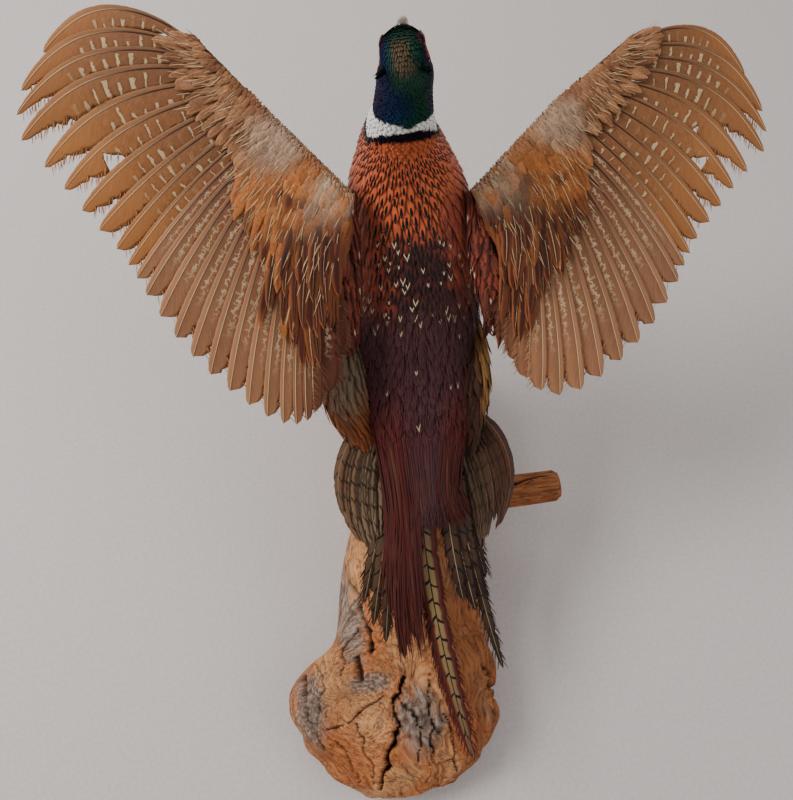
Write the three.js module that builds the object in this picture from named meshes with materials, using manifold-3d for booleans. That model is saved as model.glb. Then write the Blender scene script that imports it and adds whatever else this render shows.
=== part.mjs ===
// A mounted cock ring-necked pheasant with spread wings, standing on a piece of driftwood.
// Millimetres, +Z up. The bird faces -Y and its middle plane is X = 0. Its own left is +X.
// The origin is on the flat underside of the driftwood, under the middle of its length.
import * as THREE from 'three';
import { mergeVertices } from 'three/addons/utils/BufferGeometryUtils.js';
import Module from 'manifold-3d';

const wasm = await Module();
wasm.setup();

// ---- driving dimensions -------------------------------------------------------------------

const GAP = 0.3; // clearance between neighbouring pieces
const RING_POINTS = 18; // points round a body section

// Body sections from the tail root to the bill base: the back point and the belly point as
// [y, z], the half width, and how far the section stands to the bird's right of its middle plane,
// because the body bows a little that way. Each section is square to the line of the body.
const BODY_SECTIONS = [
  { back: [-34, 243], belly: [-52, 219], half: 33, shift: 0 },
  { back: [-80, 281], belly: [-120, 211], half: 56, shift: 2 },
  { back: [-124, 314], belly: [-194, 225], half: 66, shift: 6 },
  { back: [-165, 357], belly: [-253, 262], half: 69, shift: 10 },
  { back: [-200, 396], belly: [-297, 306], half: 68, shift: 13 },
  { back: [-230, 431], belly: [-341, 371], half: 60, shift: 12 },
  { back: [-244, 462], belly: [-346, 432], half: 44, shift: 8 },
  { back: [-250, 490], belly: [-330, 477], half: 32, shift: 4 },
  { back: [-252, 511], belly: [-312, 507], half: 26.5, shift: 3 },
  { back: [-251, 531], belly: [-302, 531], half: 23.8, shift: 2 },
  { back: [-248, 554], belly: [-294, 555], half: 21.8, shift: 1 },
  { back: [-241, 574], belly: [-289, 571], half: 21, shift: 0 },
  { back: [-239, 590], belly: [-288.5, 577], half: 19.2, shift: 0 },
  { back: [-244, 601], belly: [-288, 579.5], half: 17.8, shift: 0 },
  { back: [-256, 607.5], belly: [-287, 581.5], half: 16.4, shift: 0 },
  { back: [-269, 606.5], belly: [-286.5, 583], half: 14.4, shift: 0 },
  { back: [-281, 600.5], belly: [-286, 584.5], half: 11, shift: 0 },
  { back: [-289, 595.5], belly: [-286, 586], half: 7, shift: 0 },
];
const TRUNK_TOP = 8; // section where the trunk ends and the neck begins
const NECK_TOP = 11; // section where the neck ends and the head begins

const HEAD_TURN = { yaw: -8, roll: 9 }; // degrees, to its right and towards its left shoulder
const HEAD_PIVOT = [0, -268, 578];

const EYE_RADIUS = 5.2;
const EYE_CENTRE = [12.4, -273.5, 595];
const WATTLE_SIZE = [14.5, 9.5]; // half length and half height of the bare red cheek
const WATTLE_CENTRE = [18, -270.5, 589.5];
const WATTLE_TILT = -28; // degrees, its long way slopes down to the front
const WATTLE_LIFT = 1.1; // how far the cheek stands off the head
const EAR_TUFT = { root: [15, -249, 594], tip: [22.5, -235, 600], radius: 3 };
const BILL_TIP = [0, -318, 580];
const BILL_ROOT = [0, -286, 592];
const BILL_WIDTH = 13;
const BILL_DEPTH = 8.5;

// Wing planes: the wrist point on the leading edge, the plane's normal, the shoulder in the
// wing's own span and chord, how many degrees the hand is swept back from the left wing's pose,
// how far the middle feathers are drawn out beyond the left wing's, and the inner ones drawn in.
const WINGS = {
  left: {
    wrist: [103, -326, 477],
    normal: [0.105, 0.52, 0.85],
    shoulder: [-56, 78],
    sweep: 0,
    spread: 0,
    tuck: 0,
  },
  right: {
    wrist: [-155, -329, 454],
    normal: [-0.09, 0.42, 0.905],
    shoulder: [-88, 78],
    sweep: 20,
    spread: 14,
    tuck: 46,
  },
};
const PRIMARIES = 10;
const SECONDARIES = 13;
const TERTIALS = 3;
const HAND_LENGTH = 92; // wrist to the root of the outermost primary, along the leading edge
const HAND_ANGLE = -56; // direction of the hand on the left wing, degrees from the span line
// Feather tips as seen from the wrist: angle in degrees and reach, at stations along the fan.
const TIP_ANGLES = [
  -29, -19.5, -14, -9, -2.5, 4, 11, 18, 25, 31, 39, 50.5, 61, 70.5, 78, 83, 86.5, 91,
];
const TIP_REACHES = [
  214, 231, 237, 239, 224, 210, 201, 195, 191, 192, 200, 219, 240, 262, 280, 281, 262, 205,
];
const SWEEP_SAG = 0.28; // share of the sweep that the middle feathers don't follow
const TIP_NOTCH = 0.07; // depth of the notch between two feather tips, as a share of length
const WING_ARCH = 10; // how far the middle of the feathers rises over the chord
const PRIMARY_BOW = 0.16; // how far the outermost primary curves, as a share of its length
const INNER_BOW = 0.03; // and how far the inner feathers do
const FAN_PARTING = 0.05; // share of a feather's width left open between two fans
const WRIST_PARTING = 0.03; // the same between the hand and the arm
const VANE_ROOT = 3.2; // thickness of the feather fan at its root
const VANE_TIP = 0.9; // and at its tips
const ARM_THICKNESS = { hand: 5, wrist: 13, shoulder: 24 };
// Cross-section of the arm: place from its leading edge to its rear, and height in thicknesses.
const ARM_SECTION = [
  [0, 0], [0.05, 0.3], [0.25, 0.5], [0.6, 0.42], [0.985, 0.12],
  [0.985, -0.12], [0.6, -0.4], [0.25, -0.5], [0.05, -0.3],
];

// Tail: the ridge line from the root to the long tip, and the feather bunches at its sides.
const TAIL_ROOT = [0, -46, 248];
const TAIL_BEND = [14, 74, 158];
const TAIL_TIP = [-9, 246, 122];
const TAIL_HALF = 17; // half width of the long middle feathers
const TAIL_SIDES = { left: { reach: 0.68, splay: 42 }, right: { reach: 0.74, splay: 10 } };
const TAIL_THICK = 2;
const TAIL_SIDE_WIDTH = 24; // each side bunch at its root
const TAIL_SIDE_DROP = 13; // how far its outer edge hangs below its inner one
// Paths of the innermost and the outermost skirt feather on the left side.
const SKIRT = {
  inner: { root: [30, -98, 252], bend: [46, -48, 222], tip: [52, 14, 186] },
  outer: { root: [56, -112, 252], bend: [124, -66, 234], tip: [82, -14, 190] },
};
const SKIRT_LEAN = 0.5; // how much the skirt's surface faces sideways

// Feather pads on the bird's left, as a path and its radii: the scapulars, which bridge the back
// and the wing, and the flank, which bulges over the thigh. The right flank lies closer.
const SCAPULAR = {
  left: { path: [[48, -262, 434], [60, -212, 398], [66, -160, 346]], radius: 18 },
  right: { path: [[-68, -258, 424], [-76, -206, 394], [-80, -158, 358]], radius: 18 },
};
const FLANK = {
  left: { path: [[52, -215, 305], [72, -152, 282], [66, -104, 248]], radius: 27 },
  right: { path: [[-62, -215, 305], [-62, -150, 290], [-56, -92, 256]], radius: 20 },
};
const LEG_ROOT = [37, -212, 276];
const HOCK = [34, -178, 197];
const ANKLE = [35, -209, 132];
const THIGH_RADIUS = { top: 25, hock: 6.5 };
const TARSUS_RADIUS = 4.6;
const TOE_RADIUS = { root: 4, tip: 2.4 };
const CLAW_DROP = 5; // how far the claw points below the toe
const TOES = [
  { turn: 0, length: 50, rise: 10 },
  { turn: 34, length: 38, rise: 8 },
  { turn: -36, length: 36, rise: 8 },
  { turn: 172, length: 20, rise: 9 },
];

// Driftwood sections: distance along Y, centre in X, half width and height.
const LOG_SECTIONS = [
  { y: -272, x: -10, half: 34, height: 52 },
  { y: -252, x: -10, half: 58, height: 96 },
  { y: -205, x: -9, half: 72, height: 121 },
  { y: -130, x: -8, half: 77, height: 119 },
  { y: -50, x: 1, half: 82, height: 108 },
  { y: 30, x: 20, half: 86, height: 99 },
  { y: 95, x: 40, half: 92, height: 95 },
  { y: 122, x: 54, half: 114, height: 100 },
  { y: 160, x: 60, half: 127, height: 104 },
  { y: 205, x: 62, half: 119, height: 97 },
  { y: 245, x: 61, half: 92, height: 82 },
  { y: 276, x: 60, half: 52, height: 50 },
];
const LOG_BUMP = 0.045; // depth of the lengthwise ridges, as a share of the radius
const LOG_MIDDLE = 0.46; // height of each section's centre, as a share of its height
const LOG_SIDES = 20;
const LOG_RINGS = 18;
const STUB = { root: [-20, -52, 78], tip: [-180, -45, 88], radius: 22 };

// ---- helpers ------------------------------------------------------------------------------

const rad = THREE.MathUtils.degToRad;
const vec = (p) => new THREE.Vector3(...p);

// Smooth value at a fractional index of a list.
function sample(list, index) {
  const last = list.length - 1;
  const at = Math.min(Math.max(index, 0), last);
  const i = Math.min(Math.floor(at), last - 1);
  const t = at - i;
  const [a, b, c, d] = [-1, 0, 1, 2].map((k) => list[Math.min(Math.max(i + k, 0), last)]);
  return b + 0.5 * t * (c - a + t * (2 * a - 5 * b + 4 * c - d + t * (3 * (b - c) + d - a)));
}

function geometry(points, faces) {
  const shape = new THREE.BufferGeometry();
  shape.setAttribute('position', new THREE.Float32BufferAttribute(points.flatMap((p) => [p.x, p.y, p.z]), 3));
  shape.setIndex(faces.flat());
  let volume = 0;
  for (const [a, b, c] of faces) {
    volume += points[a].dot(new THREE.Vector3().crossVectors(points[b], points[c]));
  }
  if (volume < 0) {
    shape.setIndex(faces.flatMap(([a, b, c]) => [a, c, b]));
  }
  return shape;
}

// A closed body through rings of points, with a fan of faces on each end.
function loft(rings) {
  const count = rings[0].length;
  const points = rings.flat();
  const faces = [];
  for (let i = 0; i + 1 < rings.length; i += 1) {
    for (let k = 0; k < count; k += 1) {
      const a = i * count + k;
      const b = i * count + ((k + 1) % count);
      faces.push([a, b, b + count], [a, b + count, a + count]);
    }
  }
  for (const [start, flip] of [[0, true], [(rings.length - 1) * count, false]]) {
    const middle = new THREE.Vector3();
    for (let k = 0; k < count; k += 1) {
      middle.addScaledVector(points[start + k], 1 / count);
    }
    const hub = points.push(middle) - 1;
    for (let k = 0; k < count; k += 1) {
      const pair = [start + k, start + ((k + 1) % count)];
      faces.push(flip ? [hub, pair[1], pair[0]] : [hub, pair[0], pair[1]]);
    }
  }
  return geometry(points, faces);
}

// A thin closed sheet between ribs. Each rib is a list of { at, normal, half }.
function sheet(ribs) {
  const rows = ribs[0].length;
  const stride = rows * 2;
  const points = ribs.flatMap((rib) => rib.flatMap(({ at, normal, half }) => [
    at.clone().addScaledVector(normal, half),
    at.clone().addScaledVector(normal, -half),
  ]));
  const faces = [];
  const quad = (a, b, c, d) => faces.push([a, b, c], [a, c, d]);
  const last = (ribs.length - 1) * stride;
  for (let i = 0; i + 1 < ribs.length; i += 1) {
    for (let j = 0; j + 1 < rows; j += 1) {
      const a = i * stride + j * 2;
      quad(a, a + stride, a + stride + 2, a + 2);
      quad(a + 1, a + 3, a + stride + 3, a + stride + 1);
    }
    const root = i * stride;
    const tip = root + stride - 2;
    quad(root, root + 1, root + stride + 1, root + stride);
    quad(tip, tip + stride, tip + stride + 1, tip + 1);
  }
  for (let j = 0; j + 1 < rows; j += 1) {
    quad(j * 2, j * 2 + 2, j * 2 + 3, j * 2 + 1);
    quad(last + j * 2, last + j * 2 + 1, last + j * 2 + 3, last + j * 2 + 2);
  }
  return geometry(points, faces);
}

function toManifold(shape) {
  const bare = shape.clone();
  bare.deleteAttribute('normal');
  bare.deleteAttribute('uv');
  const merged = mergeVertices(bare, 1e-4);
  return new wasm.Manifold(new wasm.Mesh({
    numProp: 3,
    vertProperties: new Float32Array(merged.attributes.position.array),
    triVerts: new Uint32Array(merged.index.array),
  }));
}

function fromManifold(solid) {
  const mesh = solid.getMesh();
  const shape = new THREE.BufferGeometry();
  shape.setAttribute('position', new THREE.BufferAttribute(new Float32Array(mesh.vertProperties), 3));
  shape.setIndex(new THREE.BufferAttribute(new Uint32Array(mesh.triVerts), 1));
  return shape;
}

// Only the largest body of a cut is kept, so that no crumb is left beside it.
function largest(solid) {
  return solid.decompose().sort((a, b) => b.volume() - a.volume())[0];
}

const cut = (shape, ...tools) => fromManifold(largest(
  tools.reduce((solid, tool) => solid.subtract(toManifold(tool)), toManifold(shape)),
));

const join = (...shapes) => fromManifold(
  shapes.map(toManifold).reduce((whole, solid) => whole.add(solid)),
);

// A round or oval rod along a curve: radius is a function of the share of its length.
function rod(points, radius, steps, sides, flatness = 1) {
  const curve = new THREE.CatmullRomCurve3(points);
  const frames = curve.computeFrenetFrames(steps, false);
  const rings = [];
  for (let i = 0; i <= steps; i += 1) {
    const centre = curve.getPointAt(i / steps);
    const r = radius(i / steps);
    const ring = [];
    for (let k = 0; k < sides; k += 1) {
      const turn = (k / sides) * Math.PI * 2;
      ring.push(centre.clone()
        .addScaledVector(frames.normals[i], r * Math.cos(turn))
        .addScaledVector(frames.binormals[i], r * flatness * Math.sin(turn)));
    }
    rings.push(ring);
  }
  return loft(rings);
}

// ---- body ---------------------------------------------------------------------------------

// One body section at a fractional index, grown by a margin.
function bodyRing(index, grow) {
  const field = (read) => sample(BODY_SECTIONS.map(read), index);
  const middle = -field((s) => s.shift);
  const back = new THREE.Vector3(middle, field((s) => s.back[0]), field((s) => s.back[1]));
  const belly = new THREE.Vector3(middle, field((s) => s.belly[0]), field((s) => s.belly[1]));
  const half = field((s) => s.half) + grow;
  const centre = back.clone().add(belly).multiplyScalar(0.5);
  const up = back.clone().sub(belly);
  const rise = up.length() / 2 + grow;
  up.normalize();
  const ring = [];
  for (let k = 0; k < RING_POINTS; k += 1) {
    const turn = (k / RING_POINTS) * Math.PI * 2;
    ring.push(centre.clone()
      .addScaledVector(up, rise * Math.cos(turn))
      .add(new THREE.Vector3(half * Math.sin(turn), 0, 0)));
  }
  const share = THREE.MathUtils.smoothstep(index, NECK_TOP - 1, NECK_TOP + 3);
  return ring.map((point) => turnHead(point, share));
}

// The head is turned on the neck: a part share of the turn in the sections next to the neck.
function turnHead(point, share = 1) {
  const pivot = vec(HEAD_PIVOT);
  const turn = new THREE.Euler(0, rad(HEAD_TURN.roll) * share, rad(HEAD_TURN.yaw) * share);
  return point.sub(pivot).applyEuler(turn).add(pivot);
}

// A length of the body between two sections. A grown one, used as a cutting tool, is longer at
// both ends too.
function bodyLength(from, to, perSection, grow = 0) {
  const steps = Math.round((to - from) * perSection);
  const rings = [];
  for (let i = 0; i <= steps; i += 1) {
    rings.push(bodyRing(from + ((to - from) * i) / steps, grow));
  }
  if (grow > 0) {
    const past = (ring, inner) => {
      const step = new THREE.Vector3().subVectors(ring[0], inner[0])
        .add(ring[RING_POINTS / 2]).sub(inner[RING_POINTS / 2]).setLength(grow);
      return ring.map((point) => point.clone().add(step));
    };
    rings.unshift(past(rings[0], rings[1]));
    rings.push(past(rings.at(-1), rings.at(-2)));
  }
  return loft(rings);
}

// Sections near a parting are about 20 mm apart, so this share of one makes the gap.
const PARTING = GAP / 20;
const LAST_SECTION = BODY_SECTIONS.length - 1;
const trunkShape = bodyLength(0, TRUNK_TOP - PARTING, 1.5);
const trunkTool = bodyLength(0, TRUNK_TOP - PARTING, 1.5, GAP);
const neckShape = bodyLength(TRUNK_TOP, NECK_TOP - PARTING, 2);
const wholeHead = bodyLength(NECK_TOP, LAST_SECTION, 1.5);
const headTool = bodyLength(NECK_TOP, LAST_SECTION, 1.5, GAP);

// ---- head parts ---------------------------------------------------------------------------

function eyeball(side, grow = 0) {
  const ball = new THREE.SphereGeometry(EYE_RADIUS + grow, 10, 7);
  const centre = turnHead(vec(EYE_CENTRE).multiply(new THREE.Vector3(side, 1, 1)));
  return ball.translate(centre.x, centre.y, centre.z);
}

// The bare cheek is the slice of a slightly larger head inside an oval round the eye.
function wattle(side) {
  const oval = new THREE.CylinderGeometry(1, 1, 30, 12);
  oval.scale(WATTLE_SIZE[1], 1, WATTLE_SIZE[0]);
  oval.rotateZ(Math.PI / 2);
  oval.rotateX(rad(WATTLE_TILT));
  oval.translate(side * WATTLE_CENTRE[0], WATTLE_CENTRE[1], WATTLE_CENTRE[2]);
  const corners = oval.attributes.position;
  for (let i = 0; i < corners.count; i += 1) {
    corners.setXYZ(i, ...turnHead(new THREE.Vector3().fromBufferAttribute(corners, i)).toArray());
  }
  const shell = toManifold(bodyLength(NECK_TOP, LAST_SECTION - 0.2, 1.5, WATTLE_LIFT));
  const slice = shell.intersect(toManifold(oval))
    .subtract(toManifold(headTool))
    .subtract(toManifold(eyeball(side, GAP)));
  return fromManifold(largest(slice));
}

function earTuft(side) {
  const mirror = new THREE.Vector3(side, 1, 1);
  const root = vec(EAR_TUFT.root).multiply(mirror);
  const tip = vec(EAR_TUFT.tip).multiply(mirror);
  const middle = root.clone().lerp(tip, 0.5).add(new THREE.Vector3(side * 1.5, 2, -1));
  const taper = (t) => EAR_TUFT.radius * (1 - t) ** 0.7 + 0.35;
  return cut(rod([root, middle, tip].map((p) => turnHead(p)), taper, 5, 7), headTool);
}

// Each half of the bill is a tapering horn. The upper one hooks down over the lower one.
function billHorn(isUpper, grow) {
  const root = vec(BILL_ROOT);
  const along = vec(BILL_TIP).sub(root);
  const up = new THREE.Vector3(0, along.z, -along.y).normalize();
  const shape = isUpper
    ? { reach: 1, hook: 3.2, rise: BILL_DEPTH * 0.62, half: BILL_WIDTH / 2 }
    : { reach: 0.88, hook: 0.6, rise: -BILL_DEPTH * 0.4, half: BILL_WIDTH * 0.45 };
  const steps = 6;
  const sides = 9;
  const rings = [];
  for (let i = 0; i <= steps; i += 1) {
    const t = i / steps;
    const swell = Math.sqrt(Math.max(1 - t ** 2.2, 0.004));
    const centre = root.clone()
      .addScaledVector(along, t * shape.reach)
      .addScaledVector(up, -shape.hook * t ** 3 - grow);
    const ring = [];
    for (let k = 0; k < sides; k += 1) {
      const turn = (k / (sides - 1)) * Math.PI;
      const across = (shape.half * swell + grow) * Math.cos(turn);
      ring.push(centre.clone()
        .addScaledVector(up, (shape.rise * swell + 2 * grow) * Math.sin(turn))
        .add(new THREE.Vector3(across, 0, 0)));
    }
    rings.push(ring.map((point) => turnHead(point)));
  }
  return loft(rings);
}

const billUpper = () => cut(billHorn(true, 0), headTool);
const billLower = () => cut(billHorn(false, 0), headTool, billHorn(true, GAP));

// ---- wings --------------------------------------------------------------------------------

// Axes of a wing plane: out along the span, back along the chord, and up.
function wingFrame(name) {
  const wing = WINGS[name];
  const side = name === 'left' ? 1 : -1;
  const up = vec(wing.normal).normalize();
  const back = new THREE.Vector3(0, 1, 0).addScaledVector(up, -up.y).normalize();
  const out = new THREE.Vector3().crossVectors(back, up).multiplyScalar(side);
  return { ...wing, side, up, back, out: out.x * side < 0 ? out.negate() : out };
}

function onWing(frame, span, chord, lift) {
  return vec(frame.wrist)
    .addScaledVector(frame.out, span)
    .addScaledVector(frame.back, chord)
    .addScaledVector(frame.up, lift);
}

const polar = (degrees, reach) => [reach * Math.cos(rad(degrees)), reach * Math.sin(rad(degrees))];
const FEATHERS = PRIMARIES + SECONDARIES + TERTIALS;

// Tip of the fan at a fractional feather number, counted from the outermost primary.
function fanTip(frame, feather) {
  const lastPrimary = PRIMARIES - 1;
  const step = (TIP_ANGLES.length - PRIMARIES) / (FEATHERS - PRIMARIES);
  const station = Math.min(feather, lastPrimary) + Math.max(feather - lastPrimary, 0) * step;
  const middle = Math.sin((Math.PI * feather) / FEATHERS) ** 2;
  const inner = THREE.MathUtils.smoothstep(feather, FEATHERS - 3 * TERTIALS, FEATHERS - TERTIALS);
  return polar(
    sample(TIP_ANGLES, station) + frame.sweep * (1 - SWEEP_SAG * middle),
    sample(TIP_REACHES, station) + frame.spread * middle - frame.tuck * inner,
  );
}

// Rear edge of the fleshy arm, where the feathers grow: from the hand's end to the wrist, then
// inward along the forearm to the body.
function rootLine(frame, feather) {
  const hand = polar(HAND_ANGLE + frame.sweep, HAND_LENGTH);
  const wrist = polar(40 + frame.sweep, 24);
  const elbow = [frame.shoulder[0] + 10, frame.shoulder[1] + 28];
  const share = feather / PRIMARIES;
  if (share <= 1) {
    return [0, 1].map((k) => THREE.MathUtils.lerp(hand[k] + [3, 6][k], wrist[k], share));
  }
  const inner = (feather - PRIMARIES) / (FEATHERS - PRIMARIES);
  return [0, 1].map((k) => THREE.MathUtils.lerp(wrist[k], elbow[k], inner));
}

// Point of the feather surface: share 0 at the root and 1 at the tip of that feather.
function vanePoint(frame, feather, share, trim) {
  const root = rootLine(frame, feather);
  const tip = fanTip(frame, feather);
  const run = [tip[0] - root[0], tip[1] - root[1]];
  const length = Math.hypot(...run);
  const bow = (PRIMARY_BOW * Math.max(0, 1 - feather / 7) + INNER_BOW) * length;
  const t = share * trim;
  const lean = 4 * bow * t * (1 - t);
  const span = root[0] + run[0] * t + (run[1] / length) * lean;
  const chord = root[1] + run[1] * t - (run[0] / length) * lean;
  const lift = WING_ARCH * (4 * t * (1 - t) * 0.6 - t * t);
  return onWing(frame, span, chord, lift);
}

// Feather tips are round: full length at the shaft, notched between two feathers.
function tipTrim(offset, feather) {
  const isPrimary = feather < PRIMARIES;
  const notch = TIP_NOTCH * (isPrimary ? 1.35 : 0.75);
  return 1 - notch * Math.abs(offset) ** 2.4;
}

function featherFan(name, first, last) {
  const frame = wingFrame(name);
  const rows = 4;
  const ribs = [];
  const offsets = first < PRIMARIES ? [-1, -0.45, 0.45] : [-1, -0.1];
  const marks = [];
  for (let feather = first; feather < last; feather += 1) {
    marks.push(...offsets.map((offset) => [feather, offset]));
  }
  marks.push([last - 1, 1 - 2 * FAN_PARTING]);
  for (const [feather, offset] of marks) {
    const place = feather + 0.5 + offset / 2;
    const trim = tipTrim(offset, feather);
    const rib = [];
    for (let j = 0; j < rows; j += 1) {
      const share = j / (rows - 1);
      const start = 0.02 + 0.98 * share;
      const half = THREE.MathUtils.lerp(VANE_ROOT, VANE_TIP, share ** 0.6) / 2;
      rib.push({ at: vanePoint(frame, Math.min(place, FEATHERS), start, trim), normal: frame.up, half });
    }
    ribs.push(rib);
  }
  return sheet(ribs);
}

// The arm is an aerofoil between the leading edge and the root line.
function armShape(name, from, to, steps) {
  const frame = wingFrame(name);
  const hand = polar(HAND_ANGLE + frame.sweep, HAND_LENGTH);
  const rings = [];
  for (let i = 0; i <= steps; i += 1) {
    const place = THREE.MathUtils.lerp(from, to, i / steps);
    const rear = rootLine(frame, place);
    const share = place / PRIMARIES;
    const front = share <= 1
      ? [hand[0] * (1 - share), hand[1] * (1 - share)]
      : [0, 1].map((k) => frame.shoulder[k] * ((place - PRIMARIES) / (FEATHERS - PRIMARIES)));
    const { hand: handThick, wrist: wristThick, shoulder: shoulderThick } = ARM_THICKNESS;
    const thick = share <= 1 ? THREE.MathUtils.lerp(handThick, wristThick, share)
      : THREE.MathUtils.lerp(wristThick, shoulderThick, (place - PRIMARIES) / (FEATHERS - PRIMARIES));
    rings.push(ARM_SECTION.map(([along, high]) => onWing(
      frame,
      THREE.MathUtils.lerp(front[0], rear[0], along),
      THREE.MathUtils.lerp(front[1], rear[1], along),
      high * thick,
    )));
  }
  return loft(rings);
}

// ---- tail ---------------------------------------------------------------------------------

const ridge = new THREE.QuadraticBezierCurve3(vec(TAIL_ROOT), vec(TAIL_BEND), vec(TAIL_TIP));

// A strip of feathers beside the ridge. Its edges are given as functions of the share of its
// length: how far it stands out from the middle plane, and how far it hangs below the ridge.
function tailStrip(reach, edges, thick) {
  const rows = 8;
  const ribs = edges.map(({ out, drop, trim }) => {
    const rib = [];
    for (let j = 0; j < rows; j += 1) {
      const t = (j / (rows - 1)) * reach * trim;
      const at = ridge.getPoint(Math.min(t, 1));
      const along = ridge.getTangent(Math.min(t, 1));
      const up = new THREE.Vector3(0, -along.z, along.y).normalize();
      at.addScaledVector(up, -drop(j / (rows - 1)));
      at.x += out(j / (rows - 1));
      const half = THREE.MathUtils.lerp(thick, VANE_TIP, (j / (rows - 1)) ** 0.7) / 2;
      rib.push({ at, normal: up, half });
    }
    return rib;
  });
  return sheet(ribs);
}

// The two long middle feathers lie together and narrow to a point.
function tailMiddle() {
  const width = (t) => TAIL_HALF * (1 - 0.25 * t) * Math.sqrt(Math.max(1 - t ** 5, 0.02));
  const edge = (k) => ({ out: (t) => k * width(t), drop: (t) => 5 * Math.abs(k) * (1 - t), trim: 1 });
  return tailStrip(1, [-1, -0.5, 0, 0.5, 1].map(edge), TAIL_THICK);
}

// Barred feathers beside the middle pair, splayed a little and shorter.
function tailSide(side, { reach, splay }) {
  const inner = TAIL_HALF + GAP + 0.6;
  const tips = [0.92, 1, 0.93, 0.97, 0.84, 0.86, 0.7];
  const edges = tips.map((trim, k) => {
    const share = k / (tips.length - 1);
    return {
      out: (t) => side * (inner + TAIL_SIDE_WIDTH * share + t * splay * (0.1 + share)),
      drop: (t) => 5 * (1 - t) + TAIL_SIDE_DROP * share + 2 * t,
      trim,
    };
  });
  return tailStrip(reach, edges, TAIL_THICK);
}

// Short grey-brown feathers that stand out round the tail root like a skirt.
function tailSkirt(side) {
  const tips = [0.9, 1, 0.93, 0.98, 0.86, 0.9, 0.76];
  const rows = 7;
  const ribs = tips.map((trim, k) => {
    const share = k / (tips.length - 1);
    const [root, bend, tip] = ['root', 'bend', 'tip'].map((name) => {
      const place = vec(SKIRT.inner[name]).lerp(vec(SKIRT.outer[name]), share);
      return place.multiply(new THREE.Vector3(side, 1, 1));
    });
    const curve = new THREE.QuadraticBezierCurve3(root, bend, tip);
    const rib = [];
    for (let j = 0; j < rows; j += 1) {
      const t = j / (rows - 1);
      const along = curve.getTangent(t * trim);
      const up = new THREE.Vector3(side * SKIRT_LEAN, -along.z, along.y).normalize();
      const half = THREE.MathUtils.lerp(TAIL_THICK, VANE_TIP, t ** 0.7) / 2;
      rib.push({ at: curve.getPoint(t * trim), normal: up, half });
    }
    return rib;
  });
  return sheet(ribs);
}

// ---- feather pads -------------------------------------------------------------------------

// A pad swells from its front end and thins out to the tips of its feathers.
function pad({ path, radius }, grow = 0) {
  const swell = (t) => grow + radius * (0.35 + 0.65 * Math.sin(Math.PI * (0.15 + 0.62 * t)) ** 2);
  return rod(path.map(vec), (t) => (t > 0.97 ? 0.55 : 1) * swell(t), 7, 10, 0.8);
}

// ---- legs ---------------------------------------------------------------------------------

const mirrored = (p, side) => new THREE.Vector3(side * p[0], p[1], p[2]);

function thigh(side) {
  const path = [LEG_ROOT, HOCK].map((p) => mirrored(p, side));
  path.splice(1, 0, path[0].clone().lerp(path[1], 0.5).add(new THREE.Vector3(side * 3, 3, 0)));
  const taper = (t) => THREE.MathUtils.lerp(THIGH_RADIUS.top, THIGH_RADIUS.hock, t ** 0.8);
  return rod(path, taper, 8, 14, 0.85);
}

function shank(side, grow = 0) {
  const hock = mirrored(HOCK, side);
  const ankle = mirrored(ANKLE, side);
  const waist = (t) => grow + TARSUS_RADIUS * (1.15 - 0.25 * Math.sin(Math.PI * t));
  return rod([hock.lerp(ankle, 0.06), ankle], waist, 4, 8);
}

function foot(side) {
  const ankle = mirrored(ANKLE, side);
  const toes = TOES.map(({ turn, length, rise }) => {
    const heading = rad(turn) * side;
    const away = new THREE.Vector3(Math.sin(heading), -Math.cos(heading), 0);
    const heights = [[-0.04, -1], [0.25, -rise * 0.45], [0.6, -rise * 0.75], [0.88, -rise],
      [1.04, -rise - CLAW_DROP]];
    const path = heights.map(([share, lift]) => ankle.clone()
      .addScaledVector(away, length * share)
      .add(new THREE.Vector3(0, 0, lift)));
    const claw = (t) => Math.max(t - 0.85, 0) * 10;
    const taper = (t) => THREE.MathUtils.lerp(TOE_RADIUS.root, TOE_RADIUS.tip, t) - claw(t);
    return rod(path, taper, 4, 6);
  });
  return join(shank(side), ...toes);
}

// Room that the feathered thigh keeps clear round the top of the shank.
function sleeve(side) {
  const hock = mirrored(HOCK, side);
  const above = hock.clone().lerp(mirrored(LEG_ROOT, side), 0.3);
  const below = hock.clone().lerp(mirrored(ANKLE, side), 0.05);
  return rod([above, below], () => 2 * TARSUS_RADIUS, 4, 12);
}

function spur(side) {
  const hock = mirrored(HOCK, side);
  const ankle = mirrored(ANKLE, side);
  const root = hock.clone().lerp(ankle, 0.72).add(new THREE.Vector3(-side * 2.2, 4.6, 0));
  const tip = root.clone().add(new THREE.Vector3(-side * 4, 10, 5));
  const middle = root.clone().lerp(tip, 0.5).add(new THREE.Vector3(0, 0, -1));
  return cut(rod([root, middle, tip], (t) => 2.6 * (1 - t) + 0.4, 4, 8), shank(side, GAP));
}

// ---- driftwood ----------------------------------------------------------------------------

function logRing(index, grow) {
  const field = (name) => sample(LOG_SECTIONS.map((s) => s[name]), index);
  const [y, x, half, height] = ['y', 'x', 'half', 'height'].map(field);
  const ring = [];
  for (let k = 0; k < LOG_SIDES; k += 1) {
    const turn = (k / LOG_SIDES) * Math.PI * 2;
    const ridges = Math.sin(3 * turn + index * 1.7) + 0.7 * Math.sin(7 * turn - index * 2.3);
    const rough = 1 + LOG_BUMP * ridges;
    const across = (half * rough + grow) * Math.cos(turn);
    const high = height * LOG_MIDDLE + (height * (1 - LOG_MIDDLE) * rough + grow) * Math.sin(turn);
    ring.push(new THREE.Vector3(x + across, y, Math.max(high, 0)));
  }
  return ring;
}

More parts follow.
